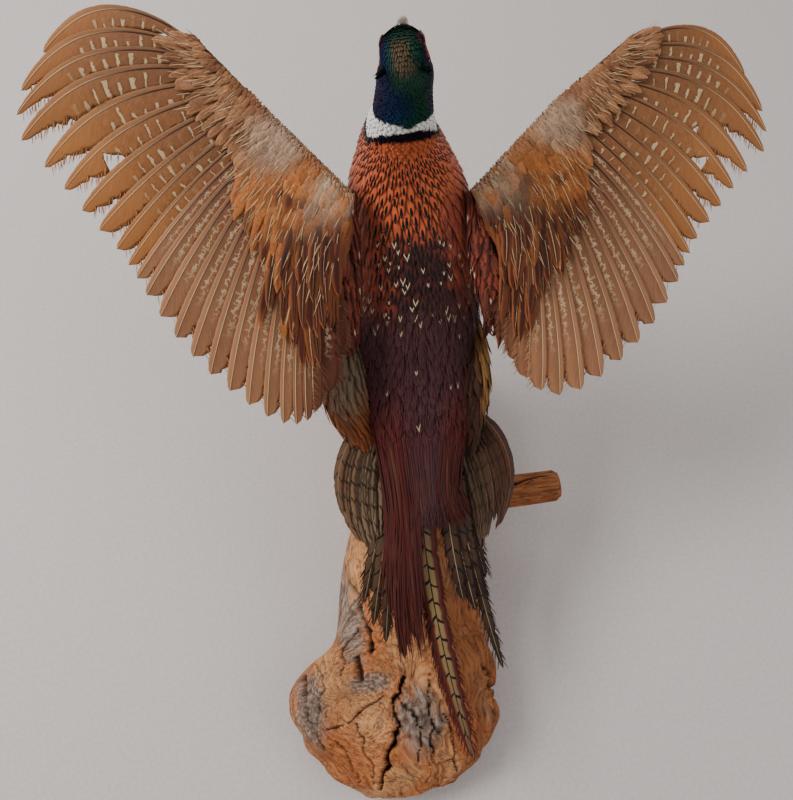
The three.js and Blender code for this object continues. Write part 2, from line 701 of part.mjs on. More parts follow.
function driftwood(grow = 0) {
  const rings = [];
  for (let i = 0; i <= LOG_RINGS; i += 1) {
    rings.push(logRing((i / LOG_RINGS) * (LOG_SECTIONS.length - 1), grow));
  }
  const path = [vec(STUB.root), vec(STUB.root).lerp(vec(STUB.tip), 0.5), vec(STUB.tip)];
  const stub = rod(path, (t) => grow + STUB.radius * (1 - 0.1 * t) * (t > 0.95 ? 0.8 : 1), 8, 12, 0.85);
  return join(loft(rings), stub);
}

// ---- assembly -----------------------------------------------------------------------------

const paint = (color, roughness, metalness = 0) => ({ color, roughness, metalness });
const COPPER = paint(0x8a3f1a, 0.6);
const GREEN = paint(0x12352f, 0.35);
const RED = paint(0xa3161a, 0.6);
const HORN = paint(0xb9a578, 0.4);
const EYE = paint(0x1a0f08, 0.1);
const TAWNY = paint(0xa87445, 0.7);
const BARRED = paint(0x7d6a4a, 0.7);
const SCALE = paint(0x8b8377, 0.6);
const WOOD = paint(0xb4713a, 0.8);

const part = new THREE.Group();

function add(name, shape, finish) {
  const mesh = new THREE.Mesh(shape, new THREE.MeshStandardMaterial(finish));
  mesh.name = name;
  part.add(mesh);
}

const wood = driftwood();
const woodTool = driftwood(GAP);
add('base_driftwood', wood, WOOD);
add('trunk', trunkShape, COPPER);
add('neck', neckShape, GREEN);
add('head', cut(wholeHead, eyeball(1, GAP), eyeball(-1, GAP)), GREEN);
add('bill_upper', billUpper(), HORN);
add('bill_lower', billLower(), HORN);
for (const [name, side] of [['left', 1], ['right', -1]]) {
  add(`eye_${name}`, eyeball(side), EYE);
  add(`wattle_${name}`, wattle(side), RED);
  add(`ear_tuft_${name}`, earTuft(side), GREEN);
  const scapularTool = pad(SCAPULAR[name], GAP);
  const flankTool = pad(FLANK[name], GAP);
  add(`scapular_${name}`, cut(pad(SCAPULAR[name]), trunkTool), COPPER);
  add(`flank_${name}`, cut(pad(FLANK[name]), trunkTool, scapularTool), COPPER);
  add(`thigh_${name}`, cut(thigh(side), trunkTool, flankTool), COPPER);
  add(`foot_${name}`, cut(foot(side), woodTool, sleeve(side)), SCALE);
  add(`spur_${name}`, spur(side), HORN);
  add(`wing_${name}_hand`, armShape(name, 0, PRIMARIES - WRIST_PARTING, 5), TAWNY);
  add(`wing_${name}_arm`, cut(armShape(name, PRIMARIES, FEATHERS, 6), trunkTool, scapularTool), TAWNY);
  add(`wing_${name}_primaries`, featherFan(name, 0, PRIMARIES), TAWNY);
  const inner = featherFan(name, PRIMARIES, FEATHERS);
  add(`wing_${name}_secondaries`, cut(inner, trunkTool, scapularTool, flankTool), TAWNY);
  add(`tail_side_${name}`, cut(tailSide(side, TAIL_SIDES[name]), trunkTool), BARRED);
  add(`tail_skirt_${name}`, cut(tailSkirt(side), trunkTool, flankTool), BARRED);
}
add('tail_middle', cut(tailMiddle(), trunkTool), BARRED);

export default part;
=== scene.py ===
import math
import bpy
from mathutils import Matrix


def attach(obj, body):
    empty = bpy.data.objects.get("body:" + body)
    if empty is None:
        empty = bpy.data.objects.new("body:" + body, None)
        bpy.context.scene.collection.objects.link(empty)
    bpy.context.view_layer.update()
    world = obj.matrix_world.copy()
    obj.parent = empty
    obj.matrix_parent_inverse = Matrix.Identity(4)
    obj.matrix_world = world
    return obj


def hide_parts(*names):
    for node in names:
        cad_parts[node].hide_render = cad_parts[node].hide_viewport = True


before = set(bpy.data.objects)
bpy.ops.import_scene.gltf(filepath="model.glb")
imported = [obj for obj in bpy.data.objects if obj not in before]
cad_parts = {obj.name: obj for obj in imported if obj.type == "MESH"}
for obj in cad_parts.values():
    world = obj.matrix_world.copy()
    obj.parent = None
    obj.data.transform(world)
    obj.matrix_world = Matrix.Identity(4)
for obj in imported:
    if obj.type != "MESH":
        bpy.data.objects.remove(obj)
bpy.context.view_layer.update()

from types import SimpleNamespace

import bpy
import numpy as np
from mathutils import Matrix, Vector, kdtree, noise

bpy.ops.object.select_all(action="DESELECT")

# ---- camera, floor and lights ---------------------------------------------------------------
# The mount is looked at steeply from above and behind the bird, so that its back and both
# spread wings show. It stands on a plain pale floor in soft light from its left.
CAMERA_PLACE = (0.0845, 0.1514, 1.0)
CAMERA_TURN = (20.95, -1.50, 170.92)
CAMERA_LENS = 33.3
BIRD_MIDDLE = (0, -0.1, 0.3)


def placed(name, data):
    """A new object in the scene, at the origin."""
    made = bpy.data.objects.new(name, data)
    bpy.context.scene.collection.objects.link(made)
    return made


camera_data = bpy.data.cameras.new("museum_camera")
camera_data.lens = CAMERA_LENS
camera_data.sensor_width = 36.0
camera_data.sensor_fit = "AUTO"
camera = placed("museum_camera", camera_data)
camera.location = CAMERA_PLACE
camera.rotation_euler = [math.radians(a) for a in CAMERA_TURN]
bpy.context.scene.camera = camera


def rgb(code):
    """A colour written as RRGGBB, turned into the renderer's linear values."""
    parts = [int(code[k:k + 2], 16) / 255 for k in (0, 2, 4)]
    return np.array([c / 12.92 if c <= 0.04045 else ((c + 0.055) / 1.055) ** 2.4 for c in parts])


class Signal:
    """A value inside a material. Sums, products and comparisons of them become maths nodes."""

    def __init__(self, socket):
        self.socket = socket

    __add__ = lambda self, other: maths("ADD", self, other)
    __sub__ = lambda self, other: maths("SUBTRACT", self, other)
    __rsub__ = lambda self, other: maths("SUBTRACT", other, self)
    __mul__ = lambda self, other: maths("MULTIPLY", self, other)
    __truediv__ = lambda self, other: maths("DIVIDE", self, other)
    __lt__ = lambda self, other: maths("LESS_THAN", self, other)
    __gt__ = lambda self, other: maths("GREATER_THAN", self, other)
    __abs__ = lambda self: maths("ABSOLUTE", self)


def give(socket, value):
    """Sets an input to a plain value, or links it to a signal."""
    if isinstance(value, Signal):
        socket.id_data.links.new(value.socket, socket)
    elif socket.type == "RGBA":
        socket.default_value = (*value, 1)
    else:
        socket.default_value = value


def node(kind, values, out=0, tree=None, **settings):
    """A shader node with its settings and its inputs: one of its outputs comes back."""
    tree = tree or next(v.socket.id_data for v in values.values() if isinstance(v, Signal))
    made = tree.nodes.new("ShaderNode" + kind)
    for key, value in settings.items():
        setattr(made, key, value)
    for key, value in values.items():
        give(made.inputs[key], value)
    return Signal(made.outputs[out])


def maths(operation, *values, clamp=False):
    return node("Math", dict(enumerate(values)), operation=operation, use_clamp=clamp)


def ramp(factor, stops):
    """A colour ramp: stops are (place, colour) pairs, and one number stands for a grey."""
    made = node("ValToRGB", {"Fac": factor})
    band = made.socket.node.color_ramp
    while len(band.elements) < len(stops):
        band.elements.new(0.5)
    for element, (spot, colour) in zip(band.elements, stops):
        element.position = spot
        element.color = (*np.broadcast_to(colour, 3), 1)
    return made


def feed(shader, key, value):
    """Gives one of a shader's inputs a plain value or a signal."""
    give(shader.inputs[key], value)


def new_material(name, roughness, specular=0.5):
    """A principled material, with its shader and the place on the piece as a signal."""
    made = bpy.data.materials.new(name)
    made.use_nodes = True
    shader = made.node_tree.nodes["Principled BSDF"]
    feed(shader, "Roughness", roughness)
    feed(shader, "Specular IOR Level", specular)
    place = node("TexCoord", {}, "Object", made.node_tree)
    return made, shader, place


def cloud(place, scale, detail, roughness=0.5):
    """A soft uneven pattern."""
    return node("TexNoise", {"Vector": place, "Scale": scale, "Detail": detail, "Roughness": roughness})


FLOOR_SIZE = 8.0
bpy.ops.mesh.primitive_plane_add(size=FLOOR_SIZE, location=(0, 0, 0))
floor = bpy.context.active_object
floor.name = "studio_floor"
floor_paint, shader, place = new_material("pale_floor", 0.7, 0.3)
grain = cloud(place, 220, 3)
feed(shader, "Base Color", ramp(grain, [(0.3, rgb("c9c1bf")), (0.7, rgb("d3ccca"))]))
floor.data.materials.append(floor_paint)


def soft_light(name, place, size, power, colour):
    """A square lamp aimed at the middle of the bird."""
    data = bpy.data.lights.new(name, "AREA")
    data.shape = "SQUARE"
    data.size = size
    data.energy = power
    data.color = colour
    lamp = placed(name, data)
    lamp.location = place
    aim = Vector(BIRD_MIDDLE) - Vector(place)
    lamp.rotation_euler = aim.to_track_quat("-Z", "Y").to_euler()


soft_light("window_lamp", (1.7, -0.7, 2.1), 1.1, 56, (1.0, 0.985, 0.96))
soft_light("fill_lamp", (-1.9, 0.9, 1.9), 1.6, 14, (0.96, 0.98, 1.0))
soft_light("back_lamp", (0.1, -2.4, 1.5), 1.4, 12, (1.0, 0.97, 0.93))
world = bpy.data.worlds.new("studio_air")
world.use_nodes = True
air = world.node_tree.nodes["Background"]
feed(air, "Color", rgb("d9d6d4"))
feed(air, "Strength", 0.68)
bpy.context.scene.world = world

# ---- body form ------------------------------------------------------------------------------
# The trunk, neck and head are one flowing form: rings from the tail root to the bill, each
# square to the line of the body. The head is turned a little on the neck.
BACK = np.array([
    [-34, 243], [-80, 281], [-124, 314], [-165, 357], [-200, 396], [-230, 431], [-244, 462], [-250, 490],
    [-252, 511], [-251, 531], [-248, 554], [-241, 574], [-239, 590], [-244, 601], [-256, 607.5],
    [-269, 606.5], [-281, 600.5], [-289, 595.5]]) / 1000
BELLY = np.array([
    [-52, 219], [-120, 211], [-194, 225], [-253, 262], [-297, 306], [-341, 371], [-346, 432], [-330, 477],
    [-312, 507], [-302, 531], [-294, 555], [-289, 571], [-288.5, 577], [-288, 579.5], [-287, 581.5],
    [-286.5, 583], [-286, 584.5], [-286, 586]]) / 1000
HALF = np.array([33, 56, 66, 69, 68, 60, 44, 32, 26.5, 23.8, 21.8, 21, 19.2, 17.8, 16.4, 14.4, 11, 7]) / 1000
SHIFT = np.array([0, 2, 6, 10, 13, 12, 8, 4, 3, 2, 1, 0, 0, 0, 0, 0, 0, 0]) / 1000
NECK_TOP = 11
LAST = len(HALF) - 1
HEAD_PIVOT = np.array([0, -0.268, 0.578])
HEAD_YAW, HEAD_ROLL = math.radians(-8), math.radians(9)


def spline(values, index):
    """Smooth value at fractional places in a list of numbers."""
    at = np.clip(index, 0, len(values) - 1)
    i = np.minimum(np.floor(at).astype(int), len(values) - 2)
    t = at - i
    a, b, c, d = (values[np.clip(i + k, 0, len(values) - 1)] for k in (-1, 0, 1, 2))
    return b + 0.5 * t * (c - a + t * (2 * a - 5 * b + 4 * c - d + t * (3 * (b - c) + d - a)))


def smooth(low, high, x):
    t = np.clip((x - low) / (high - low), 0, 1)
    return t * t * (3 - 2 * t)


def unit(v):
    return v / np.maximum(np.linalg.norm(v, axis=-1, keepdims=True), 1e-9)


def turn_head(points, share):
    """Turns points with the head: a part share of the turn next to the neck."""
    share = np.broadcast_to(np.asarray(share, float), points.shape[:-1])
    x, y, z = np.moveaxis(points - HEAD_PIVOT, -1, 0)
    c, s = np.cos(HEAD_YAW * share), np.sin(HEAD_YAW * share)
    x, y = c * x - s * y, s * x + c * y
    c, s = np.cos(HEAD_ROLL * share), np.sin(HEAD_ROLL * share)
    x, z = c * x + s * z, c * z - s * x
    return np.stack([x, y, z], -1) + HEAD_PIVOT


def body_point(index, turn):
    """Point on the body: index along it, turn round it from the back towards the bird's left."""
    index, turn = np.broadcast_arrays(np.asarray(index, float), np.asarray(turn, float))
    back, belly = (np.stack([spline(line[:, k], index) for k in (0, 1)], -1) for line in (BACK, BELLY))
    centre = (back + belly) / 2
    up = back - belly
    rise = np.linalg.norm(up, axis=-1) / 2
    up = unit(up) * rise[..., None] * np.cos(turn)[..., None]
    x = spline(HALF, index) * np.sin(turn) - spline(SHIFT, index)
    flat = np.stack([x, centre[..., 0] + up[..., 0], centre[..., 1] + up[..., 1]], -1)
    return turn_head(flat, smooth(NECK_TOP - 1, NECK_TOP + 3, index))


def body_frame(index, turn):
    """Point, outward normal and tailward direction on the body."""
    step = 0.02
    here = body_point(index, turn)
    ahead = body_point(np.minimum(index + step, LAST), turn)
    behind = body_point(np.maximum(index - step, 0), turn)
    tailward = unit(behind - ahead)
    across = unit(body_point(index, turn + step) - body_point(index, turn - step))
    return here, unit(np.cross(across, tailward)), tailward


def by_index(index, *pairs):
    """A value that changes along the body, from (index, value) pairs."""
    keys, values = zip(*sorted(pairs))
    return np.interp(index, keys, values)


def coat_depth(index):
    """How thick the feathers lie over the skin, from the rump to the bill."""
    return by_index(index, (0, 0.006), (3, 0.0055), (6, 0.004), (8, 0.0026), (11, 0.0016), (13, 0.0008),
                    (17, 0.0004))

# ---- plumage colours ------------------------------------------------------------------------
# The cock's colours by place: brown-green crown, glossy green and violet neck with a white ring,
# copper mantle, maroon shoulders, purple back, dark rump and orange-brown belly sides.


def fade(low, high, x):
    return smooth(low, high, x)[..., None]


def blend(one, two, share):
    return one * (1 - share) + two * share


def wander(points, scale, seed=0.0):
    """A smooth pseudo-random value from about -1 to 1 at each point."""
    p = points * scale + seed
    x, y, z = p[..., 0], p[..., 1], p[..., 2]
    return (np.sin(1.7 * x + 2.3 * np.sin(y + 0.6 * z)) + np.sin(2.1 * y - 1.3 * z + 1.9 * np.sin(x))
            + np.sin(1.9 * z + 1.1 * x + 2.0 * np.sin(1.3 * y + x))) / 3


def palette(codes):
    return [rgb(code) for code in codes.split()]


def body_colour(index, turn):
    """Colour of the plumage at a place on the body."""
    index, turn = np.broadcast_arrays(np.asarray(index, float), np.asarray(turn, float))
    at = body_point(index, turn)
    noise_a, noise_b = wander(at, 90), wander(at, 260, 4)
    backness = (1 + np.cos(turn)) / 2
    side = np.sin(turn)
    violet, blue, green = palette("221b39 1a3258 1a4434")
    crown, nape = palette("5f5140 2a4a3c")
    neck = blend(green, blue, fade(-0.35, 0.75, side + 0.35 * noise_a))
    neck = blend(neck, violet, fade(0.55, 1.05, np.abs(side) + 0.25 * noise_b))
    # Painted shade: the neck darkens to near-black towards its sides and front.
    neck = blend(neck, rgb("0d1020"), fade(0.35, 0.8, 1 - backness))
    top = fade(0.93, 0.99, backness + 0.02 * noise_a)
    top = top * fade(12.0, 12.9, index) * (1 - fade(13.9, 14.9, index))
    neck = blend(neck, rgb("26323f"), fade(0.7, 0.95, backness) * fade(13.8, 15.0, index))
    neck = blend(neck, nape, fade(0.8, 0.98, backness) * fade(10.8, 11.8, index))
    colour = blend(neck, crown, top)
    round_from_back = (turn + np.pi) % (2 * np.pi) - np.pi
    hang = np.minimum(np.abs(round_from_back), 1.3) ** 2
    ring_low = 8.66 - 0.86 * hang + 0.09 * noise_a
    ring_high = 9.06 - 0.30 * hang - 0.26 * np.exp(-(round_from_back + 0.05) ** 2 / 0.05) + 0.08 * noise_b
    ring = fade(-0.04, 0.04, index - ring_low) * (1 - fade(-0.04, 0.04, index - ring_high))
    colour = blend(colour, rgb("fffdf8"), ring)
    copper, maroon, purple = palette("c46440 9c4834 562c30")
    wine, belly = palette("6a1f1a 3a2018")
    trunk = blend(purple, rgb("431c1c"), fade(2.8, 3.6, index))
    trunk = blend(trunk, maroon, fade(0.32, 0.62, np.abs(side) + 0.15 * noise_a) * fade(2.7, 3.7, index))
    flank_red = fade(0.36, 0.62, np.abs(side) + 0.12 * noise_a) * (1 - fade(5.05, 5.5, index + 0.2 * noise_b))
    # Painted light: a lighter maroon on the body's sides beside the wing roots lifts the shade that falls
    # there.
    shoulder = fade(0.55, 0.85, np.abs(side)) * fade(3.2, 4.0, index) * (1 - fade(5.2, 5.6, index))
    trunk = blend(trunk, rgb("b65a43"), 0.8 * shoulder)
    mantle = fade(4.25, 5.0, index - 1.3 * (1 - backness) + 0.15 * noise_b)
    trunk = blend(trunk, copper, mantle * (1 - flank_red))
    trunk = blend(trunk, rgb("8d4522"), fade(0.5, 0.85, 1 - backness) * fade(3.6, 5.0, index))
    trunk = blend(trunk, belly, fade(0.62, 0.9, 1 - backness) * (1 - fade(3.2, 4.4, index)))
    rump = fade(-2.2, -0.6, -index)
    trunk = blend(trunk, wine, rump * fade(0.15, 0.6, np.abs(side)))
    band = fade(-0.12, 0.05, index - 8.05 + 0.68 * hang) * (1 - fade(-0.03, 0.03, index - ring_low))
    trunk = blend(trunk, rgb("16131c"), band)
    below = 1 - fade(-0.02, 0.02, index - ring_low)
    return np.clip(blend(colour, trunk, below) * (1 + 0.10 * noise_b[..., None]), 0.002, 1)

# ---- skin -----------------------------------------------------------------------------------
# One tanned skin is drawn over the filled body, thighs and wing arms, with no seam showing. It
# lies under the plumage by the coat's depth and carries the same colours.
SKIN_VOXEL = 0.0026
WING_COAT = 0.0016
FLESH = ["trunk", "neck", "head", "thigh_left", "thigh_right", "wing_left_hand", "wing_left_arm",
         "wing_right_hand", "wing_right_arm"]
COVERED = ["flank_left", "flank_right"]


def ring_grid(last, rings, sides):
    """Places along a form and turns round it, for the points of its rings."""
    return np.meshgrid(np.linspace(0, last, rings), np.linspace(0, 2 * np.pi, sides, endpoint=False),
                       indexing="ij")


grid_index, grid_turn = ring_grid(LAST, 150, 72)
grid_points = body_point(grid_index, grid_turn).reshape(-1, 3)
body_tree = kdtree.KDTree(len(grid_points))
for number, point in enumerate(grid_points):
    body_tree.insert(point, number)
body_tree.balance()


def nearest_on_body(points):
    """For each point, the body's index and turn there and how far off the body it is."""
    found = [body_tree.find(p) for p in points]
    numbers = np.array([f[1] for f in found])
    return grid_index.ravel()[numbers], grid_turn.ravel()[numbers], np.array([f[2] for f in found])


def points_and_normals(piece):
    """Where each point of a mesh is and which way it faces."""
    both = np.empty((2, len(piece.data.vertices) * 3))
    for row, kind in zip(both, ("co", "normal")):
        piece.data.vertices.foreach_get(kind, row)
    return both.reshape(2, -1, 3)


def push_out(piece, points, normals, lift):
    piece.data.vertices.foreach_set("co", (points + normals * lift[:, None]).ravel())


def paint_points(piece, colours):
    """Stores a colour for each point of a mesh, for its material to read."""
    layer = piece.data.color_attributes.new("tint", "FLOAT_COLOR", "POINT")
    full = np.ones((len(piece.data.vertices), 4), np.float32)
    full[:, :3] = colours
    layer.data.foreach_set("color", full.ravel())


def select(*pieces):
    """Selects these pieces alone, with the first as the active one."""
    bpy.ops.object.select_all(action="DESELECT")
    for piece in pieces:
        piece.select_set(True)
    bpy.context.view_layer.objects.active = pieces[0]


def cover(piece, paint):
    """Gives a piece its material and smooth shading."""
    piece.data.shade_smooth()
    piece.data.materials.append(paint)


def even_out(piece, voxel, rounds):
    """Rebuilds a piece as one closed surface of even faces, and softens it."""
    remesh = piece.modifiers.new("even", "REMESH")
    remesh.mode = "VOXEL"
    remesh.voxel_size = voxel
    soften = piece.modifiers.new("soften", "SMOOTH")
    soften.factor, soften.iterations = 0.5, rounds
    select(piece)
    for modifier in ("even", "soften"):
        bpy.ops.object.modifier_apply(modifier=modifier)


def joined_copy(name, nodes):
    """One new mesh holding a merged copy of these CAD nodes."""
    copies = []
    for cad_node in nodes:
        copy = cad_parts[cad_node].copy()
        copy.data = copy.data.copy()
        copy.parent = None
        for key in list(copy.keys()):
            del copy[key]
        bpy.context.scene.collection.objects.link(copy)
        copies.append(copy)
    select(*copies)
    if len(copies) > 1:
        bpy.ops.object.join()
    whole = bpy.context.active_object
    whole.name = whole.data.name = name
    whole.data.materials.clear()
    while whole.data.color_attributes:
        whole.data.color_attributes.remove(whole.data.color_attributes[0])
    bpy.ops.object.mode_set(mode="EDIT")
    bpy.ops.mesh.select_all(action="SELECT")
    bpy.ops.mesh.remove_doubles(threshold=1e-5)
    bpy.ops.mesh.normals_make_consistent(inside=False)
    bpy.ops.object.mode_set(mode="OBJECT")
    return whole


def carried(shader, name, out="Color"):
    """A value that the mesh carries for each of its points."""
    return node("Attribute", {}, out, shader.id_data, attribute_name=name)


def mix(factor, one, two, blend="MIX"):
    return node("Mix", {0: factor, 6: one, 7: two}, 2, data_type="RGBA", blend_type=blend)


def emboss(shader, height, strength, distance):
    """Raises the surface a little where a pattern is high."""
    raised = node("Bump", {"Height": height, "Strength": strength, "Distance": distance})
    feed(shader, "Normal", raised)


skin = joined_copy("body_skin", FLESH + COVERED)
even_out(skin, SKIN_VOXEL, 4)
skin_points, skin_normals = points_and_normals(skin)
near_index, near_turn, near_gap = nearest_on_body(skin_points)
on_body = 1 - smooth(0.004, 0.014, near_gap)
depth = on_body * coat_depth(near_index) + (1 - on_body) * WING_COAT
push_out(skin, skin_points, skin_normals, -depth)
skin.data.update()
TAWNY_SKIN = rgb("6e4a30")
paint_points(skin, blend(TAWNY_SKIN, 0.6 * body_colour(near_index, near_turn), on_body[:, None]))

skin_paint, shader, place = new_material("tanned_skin", 0.75, 0.25)
tint = carried(shader, "tint")
down = cloud(place, 420, 4)
feed(shader, "Base Color", mix(down * 0.5, tint, rgb("0b0806")))
emboss(shader, down, 0.5, 0.0006)
cover(skin, skin_paint)
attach(skin, "root")
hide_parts(*FLESH, *COVERED)

# ---- feathers -------------------------------------------------------------------------------
# Every feather is a thin closed vane on each side of a shaft. Many are joined in one mesh, which
# carries for each its colours, a place along and across the vane, and a patch of the bake map.
PATCH = 0.003


def split(kind, **source):
    """The three parts of a vector or a colour."""
    return [Signal(socket) for socket in node(kind, source).socket.node.outputs[:3]]


def joined(x, y, z=0.0):
    return node("CombineXYZ", {"X": x, "Y": y, "Z": z})


def times(colour, other):
    return mix(1.0, colour, other, "MULTIPLY")


def vane_profile(share, rise, point):
    """Relative width of a vane along its length: it opens from the root and closes at the tip."""
    return np.minimum(1, (share / rise + 0.02) ** 0.65) * np.sqrt(np.clip(1 - share ** point, 0.0, 1))


def split_edges(width, share, amount, seed):
    """Notches where the barbs of a vane's edge have parted, sharper towards the tip."""
    local = np.random.default_rng(seed)
    count, stations = width.shape
    teeth = local.random((count, stations)) ** 4
    ragged = 1 - amount * teeth * (0.25 + 0.75 * share)
    return width * ragged


def vanes(name, spine, up, left, right, tint, patches, paint, across=1, dome=0.12, thick=0.00035,
          two_sided=False, flip=False):
    """One mesh of many feathers. spine and up are (feathers, stations, 3), left and right the vane
    widths at each station, tint the colour at each station and patches the bake map's corners."""
    count, stations = spine.shape[:2]
    along = unit(np.gradient(spine, axis=1))
    side = unit(np.cross(along, np.broadcast_to(up, spine.shape)))
    lift = unit(np.cross(side, along))
    top = np.linspace(-1, 1, 2 * across + 1)
    places = np.concatenate([top, top[-2:0:-1]])
    ring = len(places)
    under = np.concatenate([np.zeros(len(top)), np.ones(len(top) - 2)])
    width = np.where(places < 0, left[..., None] * -places, right[..., None] * places)
    signed = np.where(places < 0, -width, width)
    sag = dome * width * np.abs(places)
    body = under * thick * (1 - 0.6 * np.linspace(0, 1, stations))[:, None] * (1.15 - np.abs(places))
    points = (spine[:, :, None] + side[:, :, None] * signed[..., None]
              - lift[:, :, None] * (sag + body)[..., None])
    base = (np.arange(count) * stations * ring)[:, None, None]
    j = np.arange(stations - 1)[:, None] * ring
    k = np.arange(ring)[None, None, :]
    k_next = (k + 1) % ring
    quads = np.stack([base + j + k, base + j + k_next, base + j + ring + k_next, base + j + ring + k], -1)
    quads = quads.reshape(-1, 4)
    start_caps = (base[:, 0] + np.arange(ring)[::-1][None, :])
    end_caps = (base[:, 0] + (stations - 1) * ring + np.arange(ring))
    loops = np.concatenate([quads.ravel(), start_caps.ravel(), end_caps.ravel()])
    totals = np.concatenate([np.full(len(quads), 4), np.full(2 * count, ring)])
    mesh = bpy.data.meshes.new(name)
    mesh.vertices.add(points.size // 3)
    mesh.vertices.foreach_set("co", points.astype(np.float32).ravel())
    mesh.loops.add(len(loops))
    mesh.loops.foreach_set("vertex_index", loops.astype(np.int32))
    mesh.polygons.add(len(totals))
    mesh.polygons.foreach_set("loop_start", (np.cumsum(totals) - totals).astype(np.int32))
    mesh.polygons.foreach_set("use_smooth", np.ones(len(totals), bool))
    mesh.update(calc_edges=True)

    across_map = (1 - places) / 2 if flip else (1 + places) / 2
    across_place = np.broadcast_to(across_map, (count, stations, ring)).reshape(-1)
    along_place = np.broadcast_to(np.linspace(0, 1, stations)[:, None], (count, stations, ring)).reshape(-1)
    owner = np.repeat(np.arange(count), stations * ring)
    vane_map = mesh.uv_layers.new(name="vane")
    vane_place = np.stack([across_place[loops], along_place[loops]], -1)
    vane_map.data.foreach_set("uv", vane_place.astype(np.float32).ravel())
    bake_map = mesh.uv_layers.new(name="OFBake")
    x, y, w, h = patches[owner[loops]].T
    below = np.zeros(len(loops))
    if two_sided:
        quad_below = np.broadcast_to(np.arange(ring) >= len(top) - 1, (count, stations - 1, ring)).reshape(-1)
        below[:len(quads) * 4] = np.repeat(quad_below, 4)
        w = w / 2
    bake = np.stack([x + w * (across_place[loops] * 0.96 + 0.02 + below), y + h * along_place[loops]], -1)
    bake_map.data.foreach_set("uv", bake.astype(np.float32).ravel())
    mesh.uv_layers["vane"].active = True

    tint = np.broadcast_to(tint if tint.ndim == 3 else tint[:, None], (count, stations, 3))
    layer = mesh.color_attributes.new("tint", "FLOAT_COLOR", "POINT")
    full = np.ones((count, stations, ring, 4), np.float32)
    full[..., :3] = tint[:, :, None]
    layer.data.foreach_set("color", full.ravel())
    chance = mesh.attributes.new("chance", "FLOAT", "POINT")
    chance.data.foreach_set("value", np.repeat(np.random.default_rng(count).random(count),
                                               stations * ring).astype(np.float32))
    reach = mesh.attributes.new("reach", "FLOAT", "POINT")
    lengths = np.linalg.norm(np.diff(spine, axis=1), axis=-1).sum(1)
    reach.data.foreach_set("value", np.repeat(lengths, stations * ring).astype(np.float32))
    piece = placed(name, mesh)
    mesh.materials.append(paint)
    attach(piece, "root")
    return piece


def root_patches(across, along):
    """Small bake patches at the feathers' roots on an unwrap that fills the map."""
    low_a, high_a, low_b, high_b = across.min(), across.max(), along.min(), along.max()
    x = 0.01 + 0.975 * (across - low_a) / max(high_a - low_a, 1e-6)
    y = 0.01 + 0.975 * (along - low_b) / max(high_b - low_b, 1e-6)
    return np.stack([x, y, np.full_like(x, PATCH), np.full_like(x, PATCH)], -1)


def plumage(name, roughness, marks=None, barb=0.35, shaft=None, shaft_width=0.06, sheen=0.05, bump=0.5,
            specular=0.25, fine=46.0):
    """Material of a coat of feathers. marks is a function that adds this coat's own markings."""
    made, shader, place = new_material(name, roughness, specular)
    feed(shader, "Sheen Weight", sheen)
    feed(shader, "Sheen Roughness", 0.4)
    u, v, _ = split("SeparateXYZ", Vector=node("UVMap", {}, tree=made.node_tree, uv_map="vane"))
    chance = carried(shader, "chance", "Fac")
    colour = carried(shader, "tint")
    off = abs(u - 0.5)
    slant = v - off * 0.35
    strand = joined(off * 1.5, slant * fine, chance * 31.0)
    barbs = cloud(strand, 2.2, 2, 0.6)
    reach = carried(shader, "reach", "Fac")
    if marks:
        colour = marks(colour, SimpleNamespace(u=u, v=v, off=off, chance=chance, barbs=barbs, place=place,
                                               reach=reach))
    colour = times(colour, ramp(barbs, [(0.3, 1 - barb), (0.72, 1)]))
    if shaft is not None:
        line = maths("SUBTRACT", 1.0, off / shaft_width, clamp=True)
        line = maths("MULTIPLY", line, 2.2, clamp=True)
        colour = mix(line, colour, shaft)
    feed(shader, "Base Color", colour)
    if bump:
        emboss(shader, barbs, bump, 0.0004)
    return made


